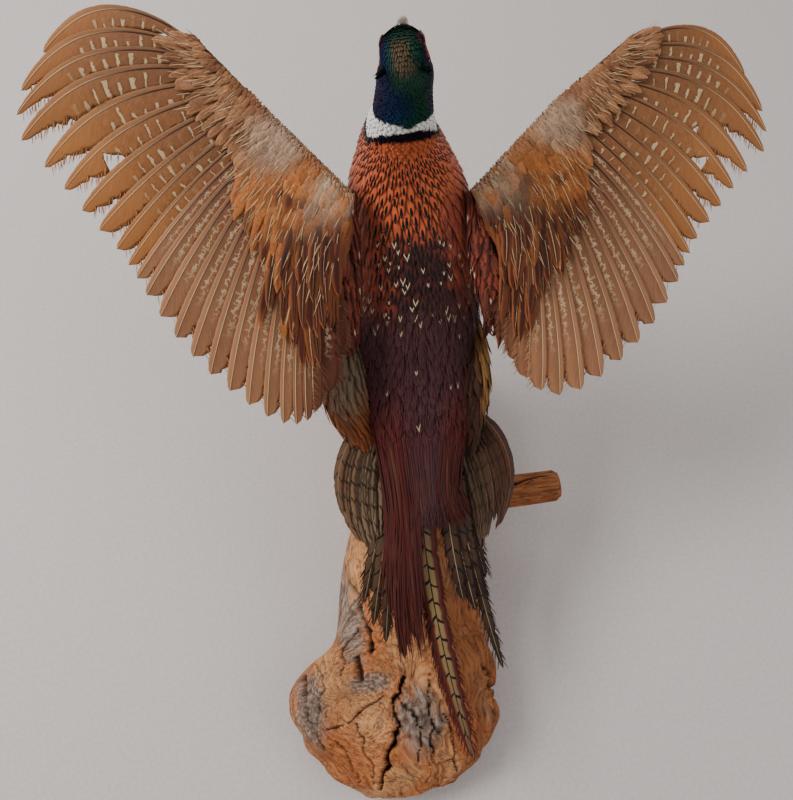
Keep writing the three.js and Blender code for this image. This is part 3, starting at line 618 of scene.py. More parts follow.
def tract(start, stop, exposure, spacing, overlap, turns=(0.0, 2 * np.pi), stations=7, jitter=0.12, seed=1):
    """Feathers in staggered rows round the body from one index down to another. Returns their
    spines, normals and roots. exposure, spacing and overlap are functions of the index."""
    local = np.random.default_rng(seed)
    rows_index, rows_turn = [], []
    index, odd = start, 0
    whole_ring = turns[1] - turns[0] > 6.28
    while index > stop:
        ring_turn = np.linspace(turns[0], turns[1], 48)
        ring = body_point(index, ring_turn)
        girth = np.linalg.norm(np.diff(ring, axis=0), axis=1).sum()
        count = max(int(girth / spacing(index)), 3)
        steps = (np.arange(count) + 0.5 * (odd % 2)) / count
        reach = np.concatenate([[0], np.cumsum(np.linalg.norm(np.diff(ring, axis=0), axis=1))]) / girth
        turn = np.interp(steps % 1 if whole_ring else np.clip(steps, 0, 1), reach, ring_turn)
        rows_turn.append(turn + local.normal(0, jitter, count) * (turns[1] - turns[0]) / count)
        rows_index.append(np.full(count, index))
        run = np.linalg.norm(body_point(index, np.pi / 2) - body_point(index - 0.1, np.pi / 2)) / 0.1
        rows_index[-1] = rows_index[-1] + local.normal(0, jitter, count) * exposure(index) / run
        index -= exposure(index) / run
        odd += 1
    root_index, root_turn = np.concatenate(rows_index), np.concatenate(rows_turn)
    here = body_point(root_index, root_turn)
    step = body_point(np.maximum(root_index - 0.1, 0), root_turn)
    run = np.linalg.norm(here - step, axis=-1) / 0.1
    length = overlap(root_index) * exposure(root_index) * local.uniform(0.88, 1.12, len(root_index))
    share = np.linspace(0, 1, stations)
    along = root_index[:, None] - (length / np.maximum(run, 1e-4))[:, None] * share
    drift = local.normal(0, 0.05, len(root_index))[:, None] * share
    at, up, tail = body_frame(np.clip(along, 0, LAST), root_turn[:, None] + drift * length[:, None] / 0.05)
    past = np.clip(-along, 0, None) * run[:, None]
    sink = coat_depth(root_index)[:, None] * (1 - share) ** 1.3 - 0.0004 * share
    spine = at + tail * past[..., None] - up * sink[..., None]
    return SimpleNamespace(spine=spine, up=up, index=root_index, turn=root_turn, share=share, along=along,
                           count=len(root_index))


def along_exposure(index):
    return by_index(index, (0, 0.014), (2, 0.0105), (3, 0.0094), (4, 0.0096), (5, 0.0100), (6, 0.0088),
                    (7, 0.0058), (8, 0.0036), (11, 0.0030), (12, 0.0020), (15, 0.0015), (17, 0.0012))


def around_spacing(index):
    return by_index(index, (0, 0.0125), (2, 0.0112), (4, 0.0100), (5, 0.0098), (6, 0.0086), (7, 0.0062),
                    (8, 0.0044), (11, 0.0034), (12, 0.0022), (15, 0.0016), (17, 0.0013))


def coat_piece(name, rows, paint, shape, across=1, dome=0.14, ragged=0.0, tint=None, wide=1.25,
               thick=0.00035):
    """Turns a tract of rows into a coat piece in the body's own colours."""
    share = rows.share[None, :]
    rise, point = shape
    half = 0.5 * wide * around_spacing(rows.index)[:, None] * vane_profile(share, rise, point)
    left = split_edges(half, share, ragged, rows.count)
    right = split_edges(half, share, ragged, rows.count + 1)
    if tint is None:
        tint = body_colour(np.clip(rows.along, 0, LAST), rows.turn[:, None])
    patches = root_patches(rows.turn, rows.index)
    piece = vanes(name, rows.spine, rows.up, left, right, tint, patches, paint, across, dome, thick)
    return piece

# ---- head and neck plumage ------------------------------------------------------------------
# Short scale-like feathers cover the crown and the neck. They are glossy green, blue and violet,
# with a white ring above a black one at the base of the neck.
CHEEK_MIDDLE, CHEEK_LENGTH, CHEEK_HEIGHT = np.array([0.018, -0.2705, 0.5895]), 0.0125, 0.0080
glossy = plumage("glossy_neck", 0.45, barb=0.28, sheen=0.0, specular=0.1)
shader = glossy.node_tree.nodes["Principled BSDF"]
feed(shader, "Specular Tint", (0.4, 0.36, 0.42))
tint = carried(shader, "tint")
feed(shader, "Metallic", ramp(tint, [(0.1, 0.45), (0.4, 0)]))
rows = tract(16.75, 7.5, along_exposure, around_spacing,
             lambda i: by_index(i, (7, 3.0), (11, 2.9), (17, 2.4)), stations=6, seed=11)
root_at = body_point(rows.index, rows.turn)
bare = np.zeros(rows.count, bool)
for side in (1, -1):
    off = root_at - turn_head((CHEEK_MIDDLE * (side, 1, 1))[None], 1.0)[0]
    bare |= (np.hypot(off[:, 1] / CHEEK_LENGTH, off[:, 2] / CHEEK_HEIGHT) < 1) & (root_at[:, 0] * side > 0)
for key, value in vars(rows).items():
    if isinstance(value, np.ndarray) and len(value) == rows.count:
        setattr(rows, key, value[~bare])
rows.count = int((~bare).sum())
coat_piece("neck_feathers", rows, glossy, (0.22, 5.0), dome=0.05, ragged=0.3, wide=1.6,
           thick=0.00016)

# ---- mantle ---------------------------------------------------------------------------------
# Copper feathers hang over the shoulders in neat rows, each with a narrow black arrow at its tip
# and a dark line along its shaft.


def cream_flecks(colour, parts):
    """Cream V flecks with dark rims near feather tips, thick over the shoulders and few behind."""
    _, y, _ = split("SeparateXYZ", Vector=parts.place)
    share = ramp(y + 0.25, [(0.022, 0), (0.045, 0.42), (0.078, 0.3), (0.1, 0.08), (0.17, 0.04)])
    roll = maths("FRACT", parts.chance * 7.0)
    picked = roll < share
    size = parts.chance * 0.2 + 0.1
    slip = (roll - 0.15) * 0.5
    off = abs(parts.u - 0.5 + slip)
    bent = parts.v + off * 0.7
    for grow, paint in ((1.5, rgb("120a0b")), (1.0, rgb("d8c19c"))):
        across = off < size * grow
        band = maths("COMPARE", bent, 0.9, 0.042 * grow)
        mask = across * band * picked
        colour = mix(mask, colour, paint)
    return colour


def arrow_tips(colour, parts):
    """A black arrow head at the tip of a feather, thin dark edges, and the back's cream flecks."""
    x, _, z = split("SeparateXYZ", Vector=parts.place)
    outer = ramp(abs(x), [(0.03, 0), (0.044, 1)])
    low = ramp(z, [(0.43, 1), (0.462, 0)])
    marked = 1.0 - outer * low * 0.9
    reach = (parts.v - 0.62) * 0.9
    reach = reach + (parts.barbs - 0.5) * 0.2
    wedge = (parts.off < maths("MINIMUM", reach, 0.26)) * (parts.v > 0.69)
    tip = maths("MAXIMUM", wedge, parts.v > 0.95)
    edge = ramp(parts.off, [(0.25, 0), (0.43, 1)])
    colour = mix(marked, colour, times(colour, (1.35, 1.1, 0.85)))
    colour = mix(edge * 0.85 * marked, colour, rgb("2e0f09"))
    colour = mix(tip * marked, colour, rgb("0d090a"))
    return cream_flecks(colour, parts)


copper_paint = plumage("copper_mantle", 0.5, arrow_tips, barb=0.3)
rows = tract(7.6, 3.4, along_exposure, around_spacing, lambda i: 3.0 + 0 * i, stations=9, seed=21)
coat_piece("mantle_feathers", rows, copper_paint, (0.3, 3.4), across=2, dome=0.16)

# ---- back and rump --------------------------------------------------------------------------
# Looser purple and maroon feathers cover the back, with cream flecks like small V marks, and run
# out into hair-like feathers over the tail root.


def dark_scales(colour, parts):
    """Nearly black edges on each feather, and the cream flecks."""
    edge = ramp(parts.off, [(0.28, 0), (0.5, 1)])
    tip = ramp(parts.v, [(0.85, 0), (1.0, 1)])
    colour = mix(maths("MAXIMUM", edge, tip) * 0.3, colour, rgb("12080a"))
    return cream_flecks(colour, parts)


back_paint = plumage("purple_back", 0.55, dark_scales, barb=0.5, bump=0.8)
rows = tract(3.7, 0.25, along_exposure, around_spacing, lambda i: 3.8 + 0 * i, stations=10, seed=31)
coat_piece("back_feathers", rows, back_paint, (0.25, 3.0), across=2, dome=0.06,
           ragged=0.6)

# Fine loose barbs soften the feather edges over the back and the rump.
rows = tract(3.3, 0.1, lambda i: 0.0042 + 0 * i, lambda i: 0.0046 + 0 * i, lambda i: 4.4 + 0 * i,
             turns=(-1.75, 1.75), jitter=0.7, seed=33)
local = np.random.default_rng(34)
rows.spine = rows.spine + rows.up * (0.0014 * rows.share)[:, None]
wisp_tint = body_colour(np.clip(rows.along, 0, LAST), rows.turn[:, None])
wisp_tint = wisp_tint * local.uniform(0.55, 1.5, (rows.count, 1, 1))
coat_piece("back_wisps", rows, plumage("wisp_barbs", 0.7, barb=0.2, bump=0.0), (0.2, 1.4),
           dome=0.2, tint=np.clip(wisp_tint, 0, 1), wide=0.14)

# ---- wings ----------------------------------------------------------------------------------
# Each spread wing lies in one slightly arched plane: ten primaries on the hand, thirteen
# secondaries and three tertials on the arm. The right hand is swept back further than the left.
WINGS = {
    "left": SimpleNamespace(side=1, wrist=(0.103, -0.326, 0.477), normal=(0.105, 0.52, 0.85),
                            shoulder=(-0.056, 0.078), sweep=0, spread=0.0, tuck=0.0),
    "right": SimpleNamespace(side=-1, wrist=(-0.155, -0.329, 0.454), normal=(-0.09, 0.42, 0.905),
                             shoulder=(-0.088, 0.078), sweep=20, spread=0.014, tuck=0.046),
}
PRIMARIES, SECONDARIES, TERTIALS = 10, 13, 3
FEATHERS = PRIMARIES + SECONDARIES + TERTIALS
TIP_ANGLES = np.array([-29, -19.5, -14, -9, -2.5, 4, 11, 18, 25, 31, 39, 50.5, 61, 70.5, 78, 83, 86.5, 91])
TIP_REACHES = np.array([214, 231, 237, 239, 224, 210, 201, 195, 191, 192, 200, 219, 240, 262, 280, 281, 262,
                        205]) / 1000
HAND_ANGLE, HAND_LENGTH = -56, 0.092
SWEEP_SAG, WING_ARCH = 0.28, 0.010


def polar(degrees, reach):
    angle = np.radians(degrees)
    return np.stack(np.broadcast_arrays(reach * np.cos(angle), reach * np.sin(angle)), -1)


for wing in WINGS.values():
    wing.up = unit(np.array(wing.normal))
    wing.back = unit(np.array([0, 1, 0]) - wing.up[1] * wing.up)
    wing.out = unit(np.cross(wing.back, wing.up)) * wing.side
    wing.out = wing.out * (1 if wing.out[0] * wing.side > 0 else -1)
    wing.wrist, wing.shoulder = np.array(wing.wrist), np.array(wing.shoulder)


def lay_on_wing(wing, flat, lift):
    """Points from (span, chord) pairs on a wing plane and their height over it."""
    return (wing.wrist + flat[..., :1] * wing.out + flat[..., 1:2] * wing.back
            + np.asarray(lift)[..., None] * wing.up)


def fan_tip(wing, feather):
    """Tip of a flight feather, numbered from the outermost primary."""
    last_primary = PRIMARIES - 1
    step = (len(TIP_ANGLES) - PRIMARIES) / (FEATHERS - PRIMARIES)
    station = np.minimum(feather, last_primary) + np.maximum(feather - last_primary, 0) * step
    middle = np.sin(np.pi * feather / FEATHERS) ** 2
    inner = smooth(FEATHERS - 3 * TERTIALS, FEATHERS - TERTIALS, feather)
    return polar(spline(TIP_ANGLES, station) + wing.sweep * (1 - SWEEP_SAG * middle),
                 spline(TIP_REACHES, station) + wing.spread * middle - wing.tuck * inner)


def arm_shares(feather):
    """How far in a feather grows: along the hand, and then along the arm."""
    number = np.asarray(feather)[..., None]
    return number / PRIMARIES, (number - PRIMARIES) / (FEATHERS - PRIMARIES)


def root_line(wing, feather):
    """Rear edge of the arm, where the flight feathers grow, from the hand's end to the elbow."""
    hand = polar(HAND_ANGLE + wing.sweep, HAND_LENGTH) + np.array([0.003, 0.006])
    wrist = polar(40 + wing.sweep, 0.024)
    elbow = wing.shoulder + np.array([0.010, 0.028])
    share, inner = arm_shares(feather)
    return np.where(share <= 1, hand + (wrist - hand) * share, wrist + (elbow - wrist) * inner)


def front_line(wing, feather):
    """Leading edge of the arm, from the hand's end to the shoulder."""
    hand = polar(HAND_ANGLE + wing.sweep, HAND_LENGTH)
    share, inner = arm_shares(feather)
    return np.where(share <= 1, hand * (1 - share), wing.shoulder * inner)


def vane_flat(wing, feather, share):
    """Place on the flight feathers in the wing plane, and their height over it."""
    root, tip = root_line(wing, feather), fan_tip(wing, feather)
    run = tip - root
    length = np.linalg.norm(run, axis=-1)
    bow = (0.16 * np.maximum(0, 1 - feather / 7) + 0.03) * length
    lean = 4 * bow * share * (1 - share) / length
    flat = root + run * share[..., None] + np.stack([run[..., 1] * lean, -run[..., 0] * lean], -1)
    return flat, WING_ARCH * (2.4 * share * (1 - share) - share ** 2)


def arm_height(feather, along):
    """Half thickness of the arm from its leading edge (0) to its rear (1)."""
    thick = np.interp(feather, [0, PRIMARIES, FEATHERS], [0.005, 0.013, 0.024])
    return thick * np.interp(along, [0, 0.05, 0.25, 0.6, 0.985], [0.05, 0.3, 0.5, 0.42, 0.12])


def feather_spacing(wing, feather, share):
    one, other = (vane_flat(wing, feather + k, share)[0] for k in (-0.5, 0.5))
    return np.linalg.norm(other - one, axis=-1)


CREAM, SHAFT_BROWN = rgb("d9b98e"), rgb("2e180d")


def loose_bars(parts, count, low, high):
    """Irregular cross marks along a vane, some missing: the marks and a wider blur round them."""
    wobble = joined(parts.u * 5.0, parts.v * 30.0, parts.chance * 40.0)
    rough = cloud(wobble, 1.3, 3, 0.65)
    phase = parts.v * count + parts.chance * 5.0
    phase = phase + rough * 0.55
    cell = joined(maths("FLOOR", phase), parts.chance * 97.0)
    red, green, blue = split("SeparateColor", Color=node("TexWhiteNoise", {"Vector": cell}, "Color"))
    wave = abs(maths("FRACT", phase) - 0.5)
    thick = red * 0.14 + 0.045
    thick = thick * (rough * 1.9)
    there = green > 0.12
    left = blue * 0.22 + low
    right = high - red * 0.14
    inside = (parts.u > left) * (parts.u < right)
    there = there * inside
    bars = (wave < thick) * there
    blur = ramp(wave - thick, [(0.0, 1), (0.22, 0)])
    return bars, blur * there, rough


def primary_marks(colour, parts):
    """Broken cream bars with brown round them over the inner two thirds of a primary."""
    bars, blur, rough = loose_bars(parts, 15.0, 0.56, 0.99)
    reach = ramp(parts.v, [(0.12, 0), (0.2, 1), (0.6, 1), (0.72, 0)])
    streak = ramp(rough, [(0.38, 0), (0.62, 1)])
    streak = streak * reach
    colour = mix(streak * 0.3, colour, rgb("6f4022"))
    colour = mix(blur * reach * 0.45, colour, rgb("5f3419"))
    pale = ramp(parts.u, [(0.0, 0.7), (0.14, 0), (0.8, 0), (1.0, 0.8)])
    colour = mix(pale * 0.5, colour, rgb("c79a6e"))
    return mix(bars * reach * 0.9, colour, rgb("e2c294"))


def secondary_marks(colour, parts):
    """A broken wavy cream line along the leading side, a darker middle and lighter soft edges."""
    bars, blur, rough = loose_bars(parts, 19.0, 0.55, 0.90)
    lane = parts.u + rough * 0.5
    line = maths("COMPARE", lane, 0.95, 0.026) * (rough > 0.4)
    reach = ramp(parts.v, [(0.1, 1), (0.68, 1), (0.82, 0)])
    mask = maths("MAXIMUM", line, bars * 0.55) * reach
    dark = ramp(parts.u, [(0.42, 0), (0.52, 1), (0.85, 0.2)])
    colour = mix(dark * 0.45, colour, rgb("5a3220"))
    soft = ramp(parts.off, [(0.36, 0), (0.5, 1)])
    lighter = times(colour, (1.7, 1.6, 1.5))
    colour = mix(soft * 0.55, colour, lighter)
    return mix(mask * 0.8, colour, rgb("dcbd94"))


primary_paint = plumage("primary_vanes", 0.55, primary_marks, barb=0.4, fine=120.0)
secondary_paint = plumage("secondary_vanes", 0.6, secondary_marks, barb=0.4, fine=110.0)
barb_paint = plumage("loose_barbs", 0.65, barb=0.2, bump=0.0)
shaft_paint = plumage("feather_shafts", 0.35, barb=0.05, sheen=0.0, bump=0.0, specular=0.5)
LOUVRE = math.radians(6)
FLIGHT_STATIONS = 56
FRAYED_BARBS, FRAYED_SIZE, STRAY_SIZE = 70, (0.005, 0.011), (0.008, 0.021)
BROKEN = {("left", 5): (0.62, 0.74), ("right", 4): (0.57, 0.63), ("right", 5): (0.68, 0.78)}


def loose_barbs(name, spine, up, out, half, tint, each, size, seed, low=0.42, sweep=1.2, lift=-1.0):
    """Barbs that have come unhooked along one edge of each feather: out points to that edge. A
    negative lift tucks them under the vane and a positive one lays them over it."""
    local = np.random.default_rng(seed)
    feathers, stations = spine.shape[:2]
    up, tint = np.broadcast_to(up, spine.shape), np.broadcast_to(tint, spine.shape)
    row = np.arange(each * feathers) % feathers
    root = local.beta(2.2, 1.3, len(row)) * (0.97 - low) + low
    step = np.clip((root * (stations - 1)).astype(int), 0, stations - 2)
    along, over = unit(np.gradient(spine, axis=1))[row, step], up[row, step][:, None]
    edge = spine[row, step] + out[row, step] * (0.8 * half[row, step])[:, None]
    share = np.linspace(0, 1, 5)
    length = local.uniform(*size, len(row))[:, None] * share
    lean = unit(along * sweep * local.uniform(0.7, 1.4, (len(row), 1)) + out[row, step])[:, None]
    barb = edge[:, None] + lean * length[..., None] + over * lift * (0.0006 + 0.0010 * share ** 2)[:, None]
    slim = local.uniform(0.00022, 0.0005, len(row))[:, None] * vane_profile(share, 0.1, 1.5)
    shade = tint[row, step][:, None] * local.uniform(0.75, 1.15, (len(row), 1, 1)) * np.ones((1, 5, 1))
    piece = vanes(name, barb, over, slim, slim, shade, root_patches(row, root), barb_paint, dome=0.2,
                  thick=0.0003)


def strip_patches(count):
    """Tall bake patches side by side, for long feathers."""
    cell = 0.98 / count
    return np.stack([0.01 + cell * np.arange(count), np.full(count, 0.01), np.full(count, cell * 0.94),
                     np.full(count, 0.98)], -1)


def flight_feathers(name, wing, first, last, paint, tints, replaced):
    """The primaries or the inner flight feathers of a wing, and their shafts."""
    is_primary = first == 0
    number = np.arange(first, last) + (0.28 if is_primary else 0.32)
    share = np.linspace(0, 1, FLIGHT_STATIONS)
    feather, along = np.meshgrid(number, 0.015 + 0.985 * share, indexing="ij")
    flat, lift = vane_flat(wing, feather, along)
    spine = lay_on_wing(wing, flat, lift)
    gap = feather_spacing(wing, feather, along)
    hook = 0.011 * smooth(8, 3, number)[:, None] * smooth(0.5, 1.25, share)
    ahead = unit(np.cross(unit(np.gradient(spine, axis=1)), wing.up)) * wing.side
    spine = spine - ahead * hook[..., None]
    finger = (0.62 * smooth(0.66, 0.96, share) * smooth(9, 4, number)[:, None]) if is_primary else 0
    lead = (0.21 if is_primary else 0.26) * gap * vane_profile(share, 0.2, 12 if is_primary else 16)
    lead = lead * (1 - 0.5 * finger)
    trail = (1.06 if is_primary else 1.10) * gap * vane_profile(share, 0.24, 6 if is_primary else 8)
    trail = trail * (1 - finger)
    lead = split_edges(lead, share, 0.16, first + 3)
    trail = split_edges(trail, share, 0.30, first + 5)
    for (broken_name, row), (low, high) in BROKEN.items():
        if broken_name == name and first <= row < last:
            torn = (share > low) & (share < high)
            trail[row - first, torn] *= np.random.default_rng(row).uniform(0.15, 0.7, torn.sum())
    tangent = unit(np.gradient(spine, axis=1))
    forward = unit(np.cross(tangent, wing.up)) * wing.side
    up = unit(wing.up * math.cos(LOUVRE) - forward * math.sin(LOUVRE))
    stagger = 0.0006 * (np.arange(last - first) % 2)[:, None, None] * wing.up
    spine = spine + stagger
    base, tip = palette(tints)
    tint = blend(base, tip, fade(0.2, 0.9, share) + 0 * spine[..., :1])
    tint = tint * np.random.default_rng(first).uniform(0.88, 1.08, (last - first, 1, 1))
    if not is_primary:
        tertial = smooth(SECONDARIES + PRIMARIES - 5, FEATHERS - 2.5, number)[:, None, None]
        tint = blend(tint, rgb("5c2819"), 0.9 * tertial)
    patches = strip_patches(last - first)
    wide = (trail, lead) if wing.side > 0 else (lead, trail)
    group = "primaries" if is_primary else "secondaries"
    piece = vanes(f"wing_{name}_{group}_vanes", spine, up, *wide, tint, patches, paint, across=3, dome=0.10,
                  thick=0.0006, two_sided=True, flip=wing.side > 0)
    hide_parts(replaced)
    loose_barbs(f"wing_{name}_{group}_barbs", spine, wing.up, -forward, trail, tint, FRAYED_BARBS,
                FRAYED_SIZE, first + 77)
    thin = np.interp(share, [0, 0.08, 1], [0.0012, 0.0008, 0.00025]) + 0 * along
    quill = blend(SHAFT_BROWN, CREAM, fade(0.30, 0.85, share) + 0 * spine[..., :1])
    rod = vanes(f"wing_{name}_{group}_shafts", spine + up * 0.0005, up, thin, thin, quill, patches,
                shaft_paint, dome=0.7, thick=0.0022)


for name, wing in WINGS.items():
    flight_feathers(name, wing, 0, PRIMARIES, primary_paint, "93603a b5743f", f"wing_{name}_primaries")
    flight_feathers(name, wing, PRIMARIES, FEATHERS, secondary_paint, "95603f bb835c",
                    f"wing_{name}_secondaries")

# ---- wing coverts ---------------------------------------------------------------------------
# Rows of smaller feathers lie like tiles over the arm and the roots of the flight feathers:
# streaked brown on the hand, pale and downy at the wrist, orange-tawny and chestnut on the arm.
GREATER_REACH = ((0, 5, 9, 10, 12, 14, 16, 18, 20, 22, 24, 26),
                 (0.038, 0.040, 0.032, 0.027, 0.048, 0.066, 0.082, 0.108, 0.140, 0.148, 0.124, 0.090))
COVERT_STATIONS = 14


def wing_colour(flat, feather, layer):
    """Colour of a covert by its place: (span, chord) from the wrist, feather number and layer."""
    span, chord = flat[..., 0], flat[..., 1]
    spread = np.stack([span, chord, 0 * span], -1)
    own = spread[:, :1] + 0.02 * layer[:, :1, None]
    noise_a, noise_b = wander(spread, 90), wander(own, 400, 5) + 0 * span
    tan, brown, grey = palette("b07a52 8a5836 bb9a80")
    orange, chestnut, wine = palette("bb6f34 451709 4f1c11")
    colour = blend(tan, brown, fade(-0.6, 0.8, noise_a))
    wrist_off = np.hypot(span - 0.004, chord - 0.022)
    colour = blend(colour, orange, fade(0.035, 0.06, chord) * fade(10.5, 12.5, feather))
    dark = fade(0.070, 0.125, chord + 0.012 * noise_a + 0.016 * noise_b)
    dark = dark * fade(12.5, 16, feather) * (1 - fade(0.045, 0.056, span))
    colour = blend(colour, chestnut, dark * fade(-0.35, 0.1, noise_b + 0.25))
    speckle = fade(0.15, 0.8, 0.5 * noise_a + noise_b) * fade(0.045, 0.07, chord) * fade(11.5, 14, feather)
    colour = blend(colour, chestnut, 0.6 * speckle)
    colour = blend(colour, wine, fade(18.5, 22, feather) * fade(0.08, 0.13, chord) * 0.8)
    straw = fade(18.0, 22.0, feather) * (1 - fade(0.055, 0.12, chord)) * fade(-0.8, 0.2, noise_b)
    colour = blend(colour, rgb("c9b196"), straw * 0.9)
    return blend(colour, grey, (1 - fade(0.012, 0.036, wrist_off + 0.004 * noise_a)) * 0.9)


def covert_marks(colour, parts):
    """Cream shaft streaks, pale fringes and fine dark flecks."""
    speck = cloud(parts.place, 520, 3)
    flecks = ramp(speck, [(0.52, 0), (0.62, 1)])
    colour = mix(flecks * 0.35, colour, rgb("4a2a18"))
    core = (ramp(parts.off, [(0.08, 1), (0.24, 0)])
            * ramp(parts.v, [(0.3, 0), (0.55, 1), (0.9, 1), (1.0, 0)]))
    core = core * (maths("FRACT", parts.chance * 5.0) > 0.45)
    deep = ramp(colour, [(0.03, 1), (0.1, 0)])
    colour = mix(core * 0.6, colour, times(colour, (0.42, 0.34, 0.3)))
    edge = ramp(parts.off, [(0.3, 0), (0.48, 1)])
    tawny = ramp(parts.off, [(0.18, 0), (0.42, 1)])
    colour = mix(tawny * deep * 0.75, colour, rgb("a05c2e"))
    fringe = edge * (parts.chance * 0.6 + 0.15)
    colour = mix(fringe, colour, times(colour, (2.0, 1.7, 1.3)))
    streak = parts.off < (parts.chance - 0.45) * 0.08
    streak = streak * (parts.v > 0.55)
    return mix(streak * 0.8, colour, rgb("e0bd88"))


covert_paint = plumage("covert_vanes", 0.6, covert_marks, barb=0.4, bump=0.6)
lining_paint = plumage("wing_lining", 0.65)

# Each row: feathers first and last, how many, where they root on the arm (0 at its front and 1
# at its rear), their reach past the root line as a share of the greater coverts', what is added
# to that, and the height of the layer.
COVERT_ROWS = (
    (0.2, 25.9, 60, 0.86, 1.00, 0.000, 0.0022),
    (13.0, 25.9, 40, 0.80, 0.80, 0.000, 0.0030),
    (0.2, 25.9, 64, 0.66, 0.60, 0.000, 0.0036),
    (12.0, 25.9, 42, 0.60, 0.46, 0.000, 0.0042),
    (0.2, 25.9, 66, 0.50, 0.30, 0.002, 0.0046),
    (0.2, 25.9, 62, 0.38, 0.12, 0.004, 0.0048),
    (0.2, 25.9, 66, 0.27, 0.00, 0.001, 0.0044),
    (0.2, 25.9, 70, 0.17, 0.00, -0.003, 0.0036),
    (0.2, 25.9, 76, 0.09, 0.00, -0.006, 0.0026),
    (0.2, 25.9, 80, 0.01, 0.00, -0.010, 0.0014),
)
LINING_ROWS = (
    (0.4, 25.7, 36, 0.84, 0.55, 0.000, 0.0020),
    (0.4, 25.7, 44, 0.60, 0.25, 0.004, 0.0030),
    (0.4, 25.7, 50, 0.36, 0.00, 0.004, 0.0030),
    (0.4, 25.7, 56, 0.14, 0.00, -0.002, 0.0022),
    (0.4, 25.7, 60, 0.01, 0.00, -0.009, 0.0012),
)


def covert_coat(name, wing, rows, over, paint, seed):
    """All the coverts on one face of a wing: over is 1 above and -1 below."""
    local = np.random.default_rng(seed)
    parts = []
    share = np.linspace(0, 1, COVERT_STATIONS)
    for layer, (first, last, count, root, portion, extra, height) in enumerate(rows):
        feather = np.linspace(first, last, count) + local.normal(0, 0.10, count)
        feather = np.clip(feather, 0.02, FEATHERS - 0.02)
        front, rear = front_line(wing, feather), root_line(wing, feather)
        place = np.clip(root + local.normal(0, 0.02, count), 0.0, 0.95)
        start = front + (rear - front) * place[:, None]
        past = np.interp(feather, *GREATER_REACH) * portion * local.uniform(0.9, 1.1, count) + extra
        vane_length = np.linalg.norm(fan_tip(wing, feather) - rear, axis=-1)
        on_vane = np.clip(past, 0, None) / vane_length
        end, end_lift = vane_flat(wing, feather, on_vane)
        end = end + np.minimum(past, 0)[:, None] * unit(end - start)
        run = end - start
        length = np.linalg.norm(run, axis=-1)
        sway = local.normal(0, 0.05, count) * length
        end = end + sway[:, None] * np.stack([-run[:, 1], run[:, 0]], -1) / length[:, None]
        run = end - start
        length = np.linalg.norm(run, axis=-1)
        flat = start[:, None] + run[:, None] * share[:, None]
        bend = 0.05 * length[:, None] * 4 * share * (1 - share)
        across = unit(np.stack([run[:, 1], -run[:, 0]], -1))[:, None]
        flat = flat + across * bend[..., None]
        root_lift = arm_height(feather, place)
        base_lift = over * root_lift[:, None] * (1 - share) + (end_lift + over * 0.0012)[:, None] * share
        hump = over * arm_height(feather, 0.5)[:, None] * share * (1 - share) * 1.5
        lift = base_lift + hump + over * (0.0004 + (height - 0.0004) * share ** 0.7)
        lift = lift + over * local.uniform(0, 0.0012, count)[:, None] * share
        wide = np.clip(0.27 * length, 0.0052, 0.0135) * local.uniform(0.9, 1.15, count)
        kept = ((run * (rear - front)).sum(1) > 0) & (length > 0.008)
        parts.append([values[kept] for values in (
            lay_on_wing(wing, flat, lift), wide, flat, np.broadcast_to(feather[:, None], flat.shape[:2]),
            np.full(flat.shape[:2], layer))])
    spine, wide, flat, feather, layer = (np.concatenate([p[k] for p in parts]) for k in range(5))
    up = np.broadcast_to(wing.up * over, spine.shape)
    half = 0.5 * wide[:, None] * vane_profile(share, 0.3, 4.0)
    left, right = (split_edges(half, share, 0.3, seed + k) for k in (1, 2))
    if over > 0:
        tint = wing_colour(flat, feather, layer)
        tint = tint * local.uniform(0.78, 1.2, (len(spine), 1, 1))
    else:
        tint = rgb("b9a184") * local.uniform(0.8, 1.15, (len(spine), 1, 1)) * np.ones_like(spine)
    patches = root_patches(flat[:, 0, 0], flat[:, 0, 1])
    piece = vanes(name, spine, up, left, right, np.clip(tint, 0, 1), patches, paint, across=2, dome=0.14)
    if over > 0:
        some = slice(None, None, 2)
        outer = unit(np.cross(unit(np.gradient(spine, axis=1)), up)) * wing.side
        loose_barbs(f"{name}_barbs", spine[some], up[some], outer[some], half[some], rgb("d4b68c"), 1,
                    STRAY_SIZE, seed + 9, low=0.30, sweep=3.5, lift=1.2)


for name, wing in WINGS.items():
    covert_coat(f"wing_{name}_coverts", wing, COVERT_ROWS, 1, covert_paint, 40 + wing.side)
    covert_coat(f"wing_{name}_lining", wing, LINING_ROWS, -1, lining_paint, 50 + wing.side)

# ---- feather pads ---------------------------------------------------------------------------
# Longer loose feathers bridge the back and the wings, bulge over the flanks and clothe the
# thighs. They grow from the skin in overlapping rows and point back along the body. Paths in mm.
SCAPULAR = {"left": ((48, -262, 434), (60, -212, 398), (66, -160, 346)),
            "right": ((-68, -258, 424), (-76, -206, 394), (-80, -158, 358))}
FLANK = {"left": ((52, -215, 305), (72, -152, 282), (66, -104, 248)),
         "right": ((-62, -215, 305), (-62, -150, 290), (-56, -92, 256))}
FLANK_RADIUS = {"left": 0.027, "right": 0.020}
SCAPULAR_RADIUS, THIGH_TOP, THIGH_END = 0.018, 0.025, 0.0062
PAD_FLATNESS, PAD_TUCK = 0.85, 0.15
LEG_ROOT, HOCK = np.array([[0.037, -0.212, 0.276], [0.034, -0.178, 0.197]])


def bezier(a, b, c, t):
    """Quadratic curve from a to c, drawn towards b, and its direction."""
    a, b, c = (np.asarray(p, float) for p in (a, b, c))
    t = np.asarray(t)[..., None]
    return a * (1 - t) ** 2 + b * 2 * t * (1 - t) + c * t ** 2, unit((b - a) * (1 - t) + (c - b) * t)


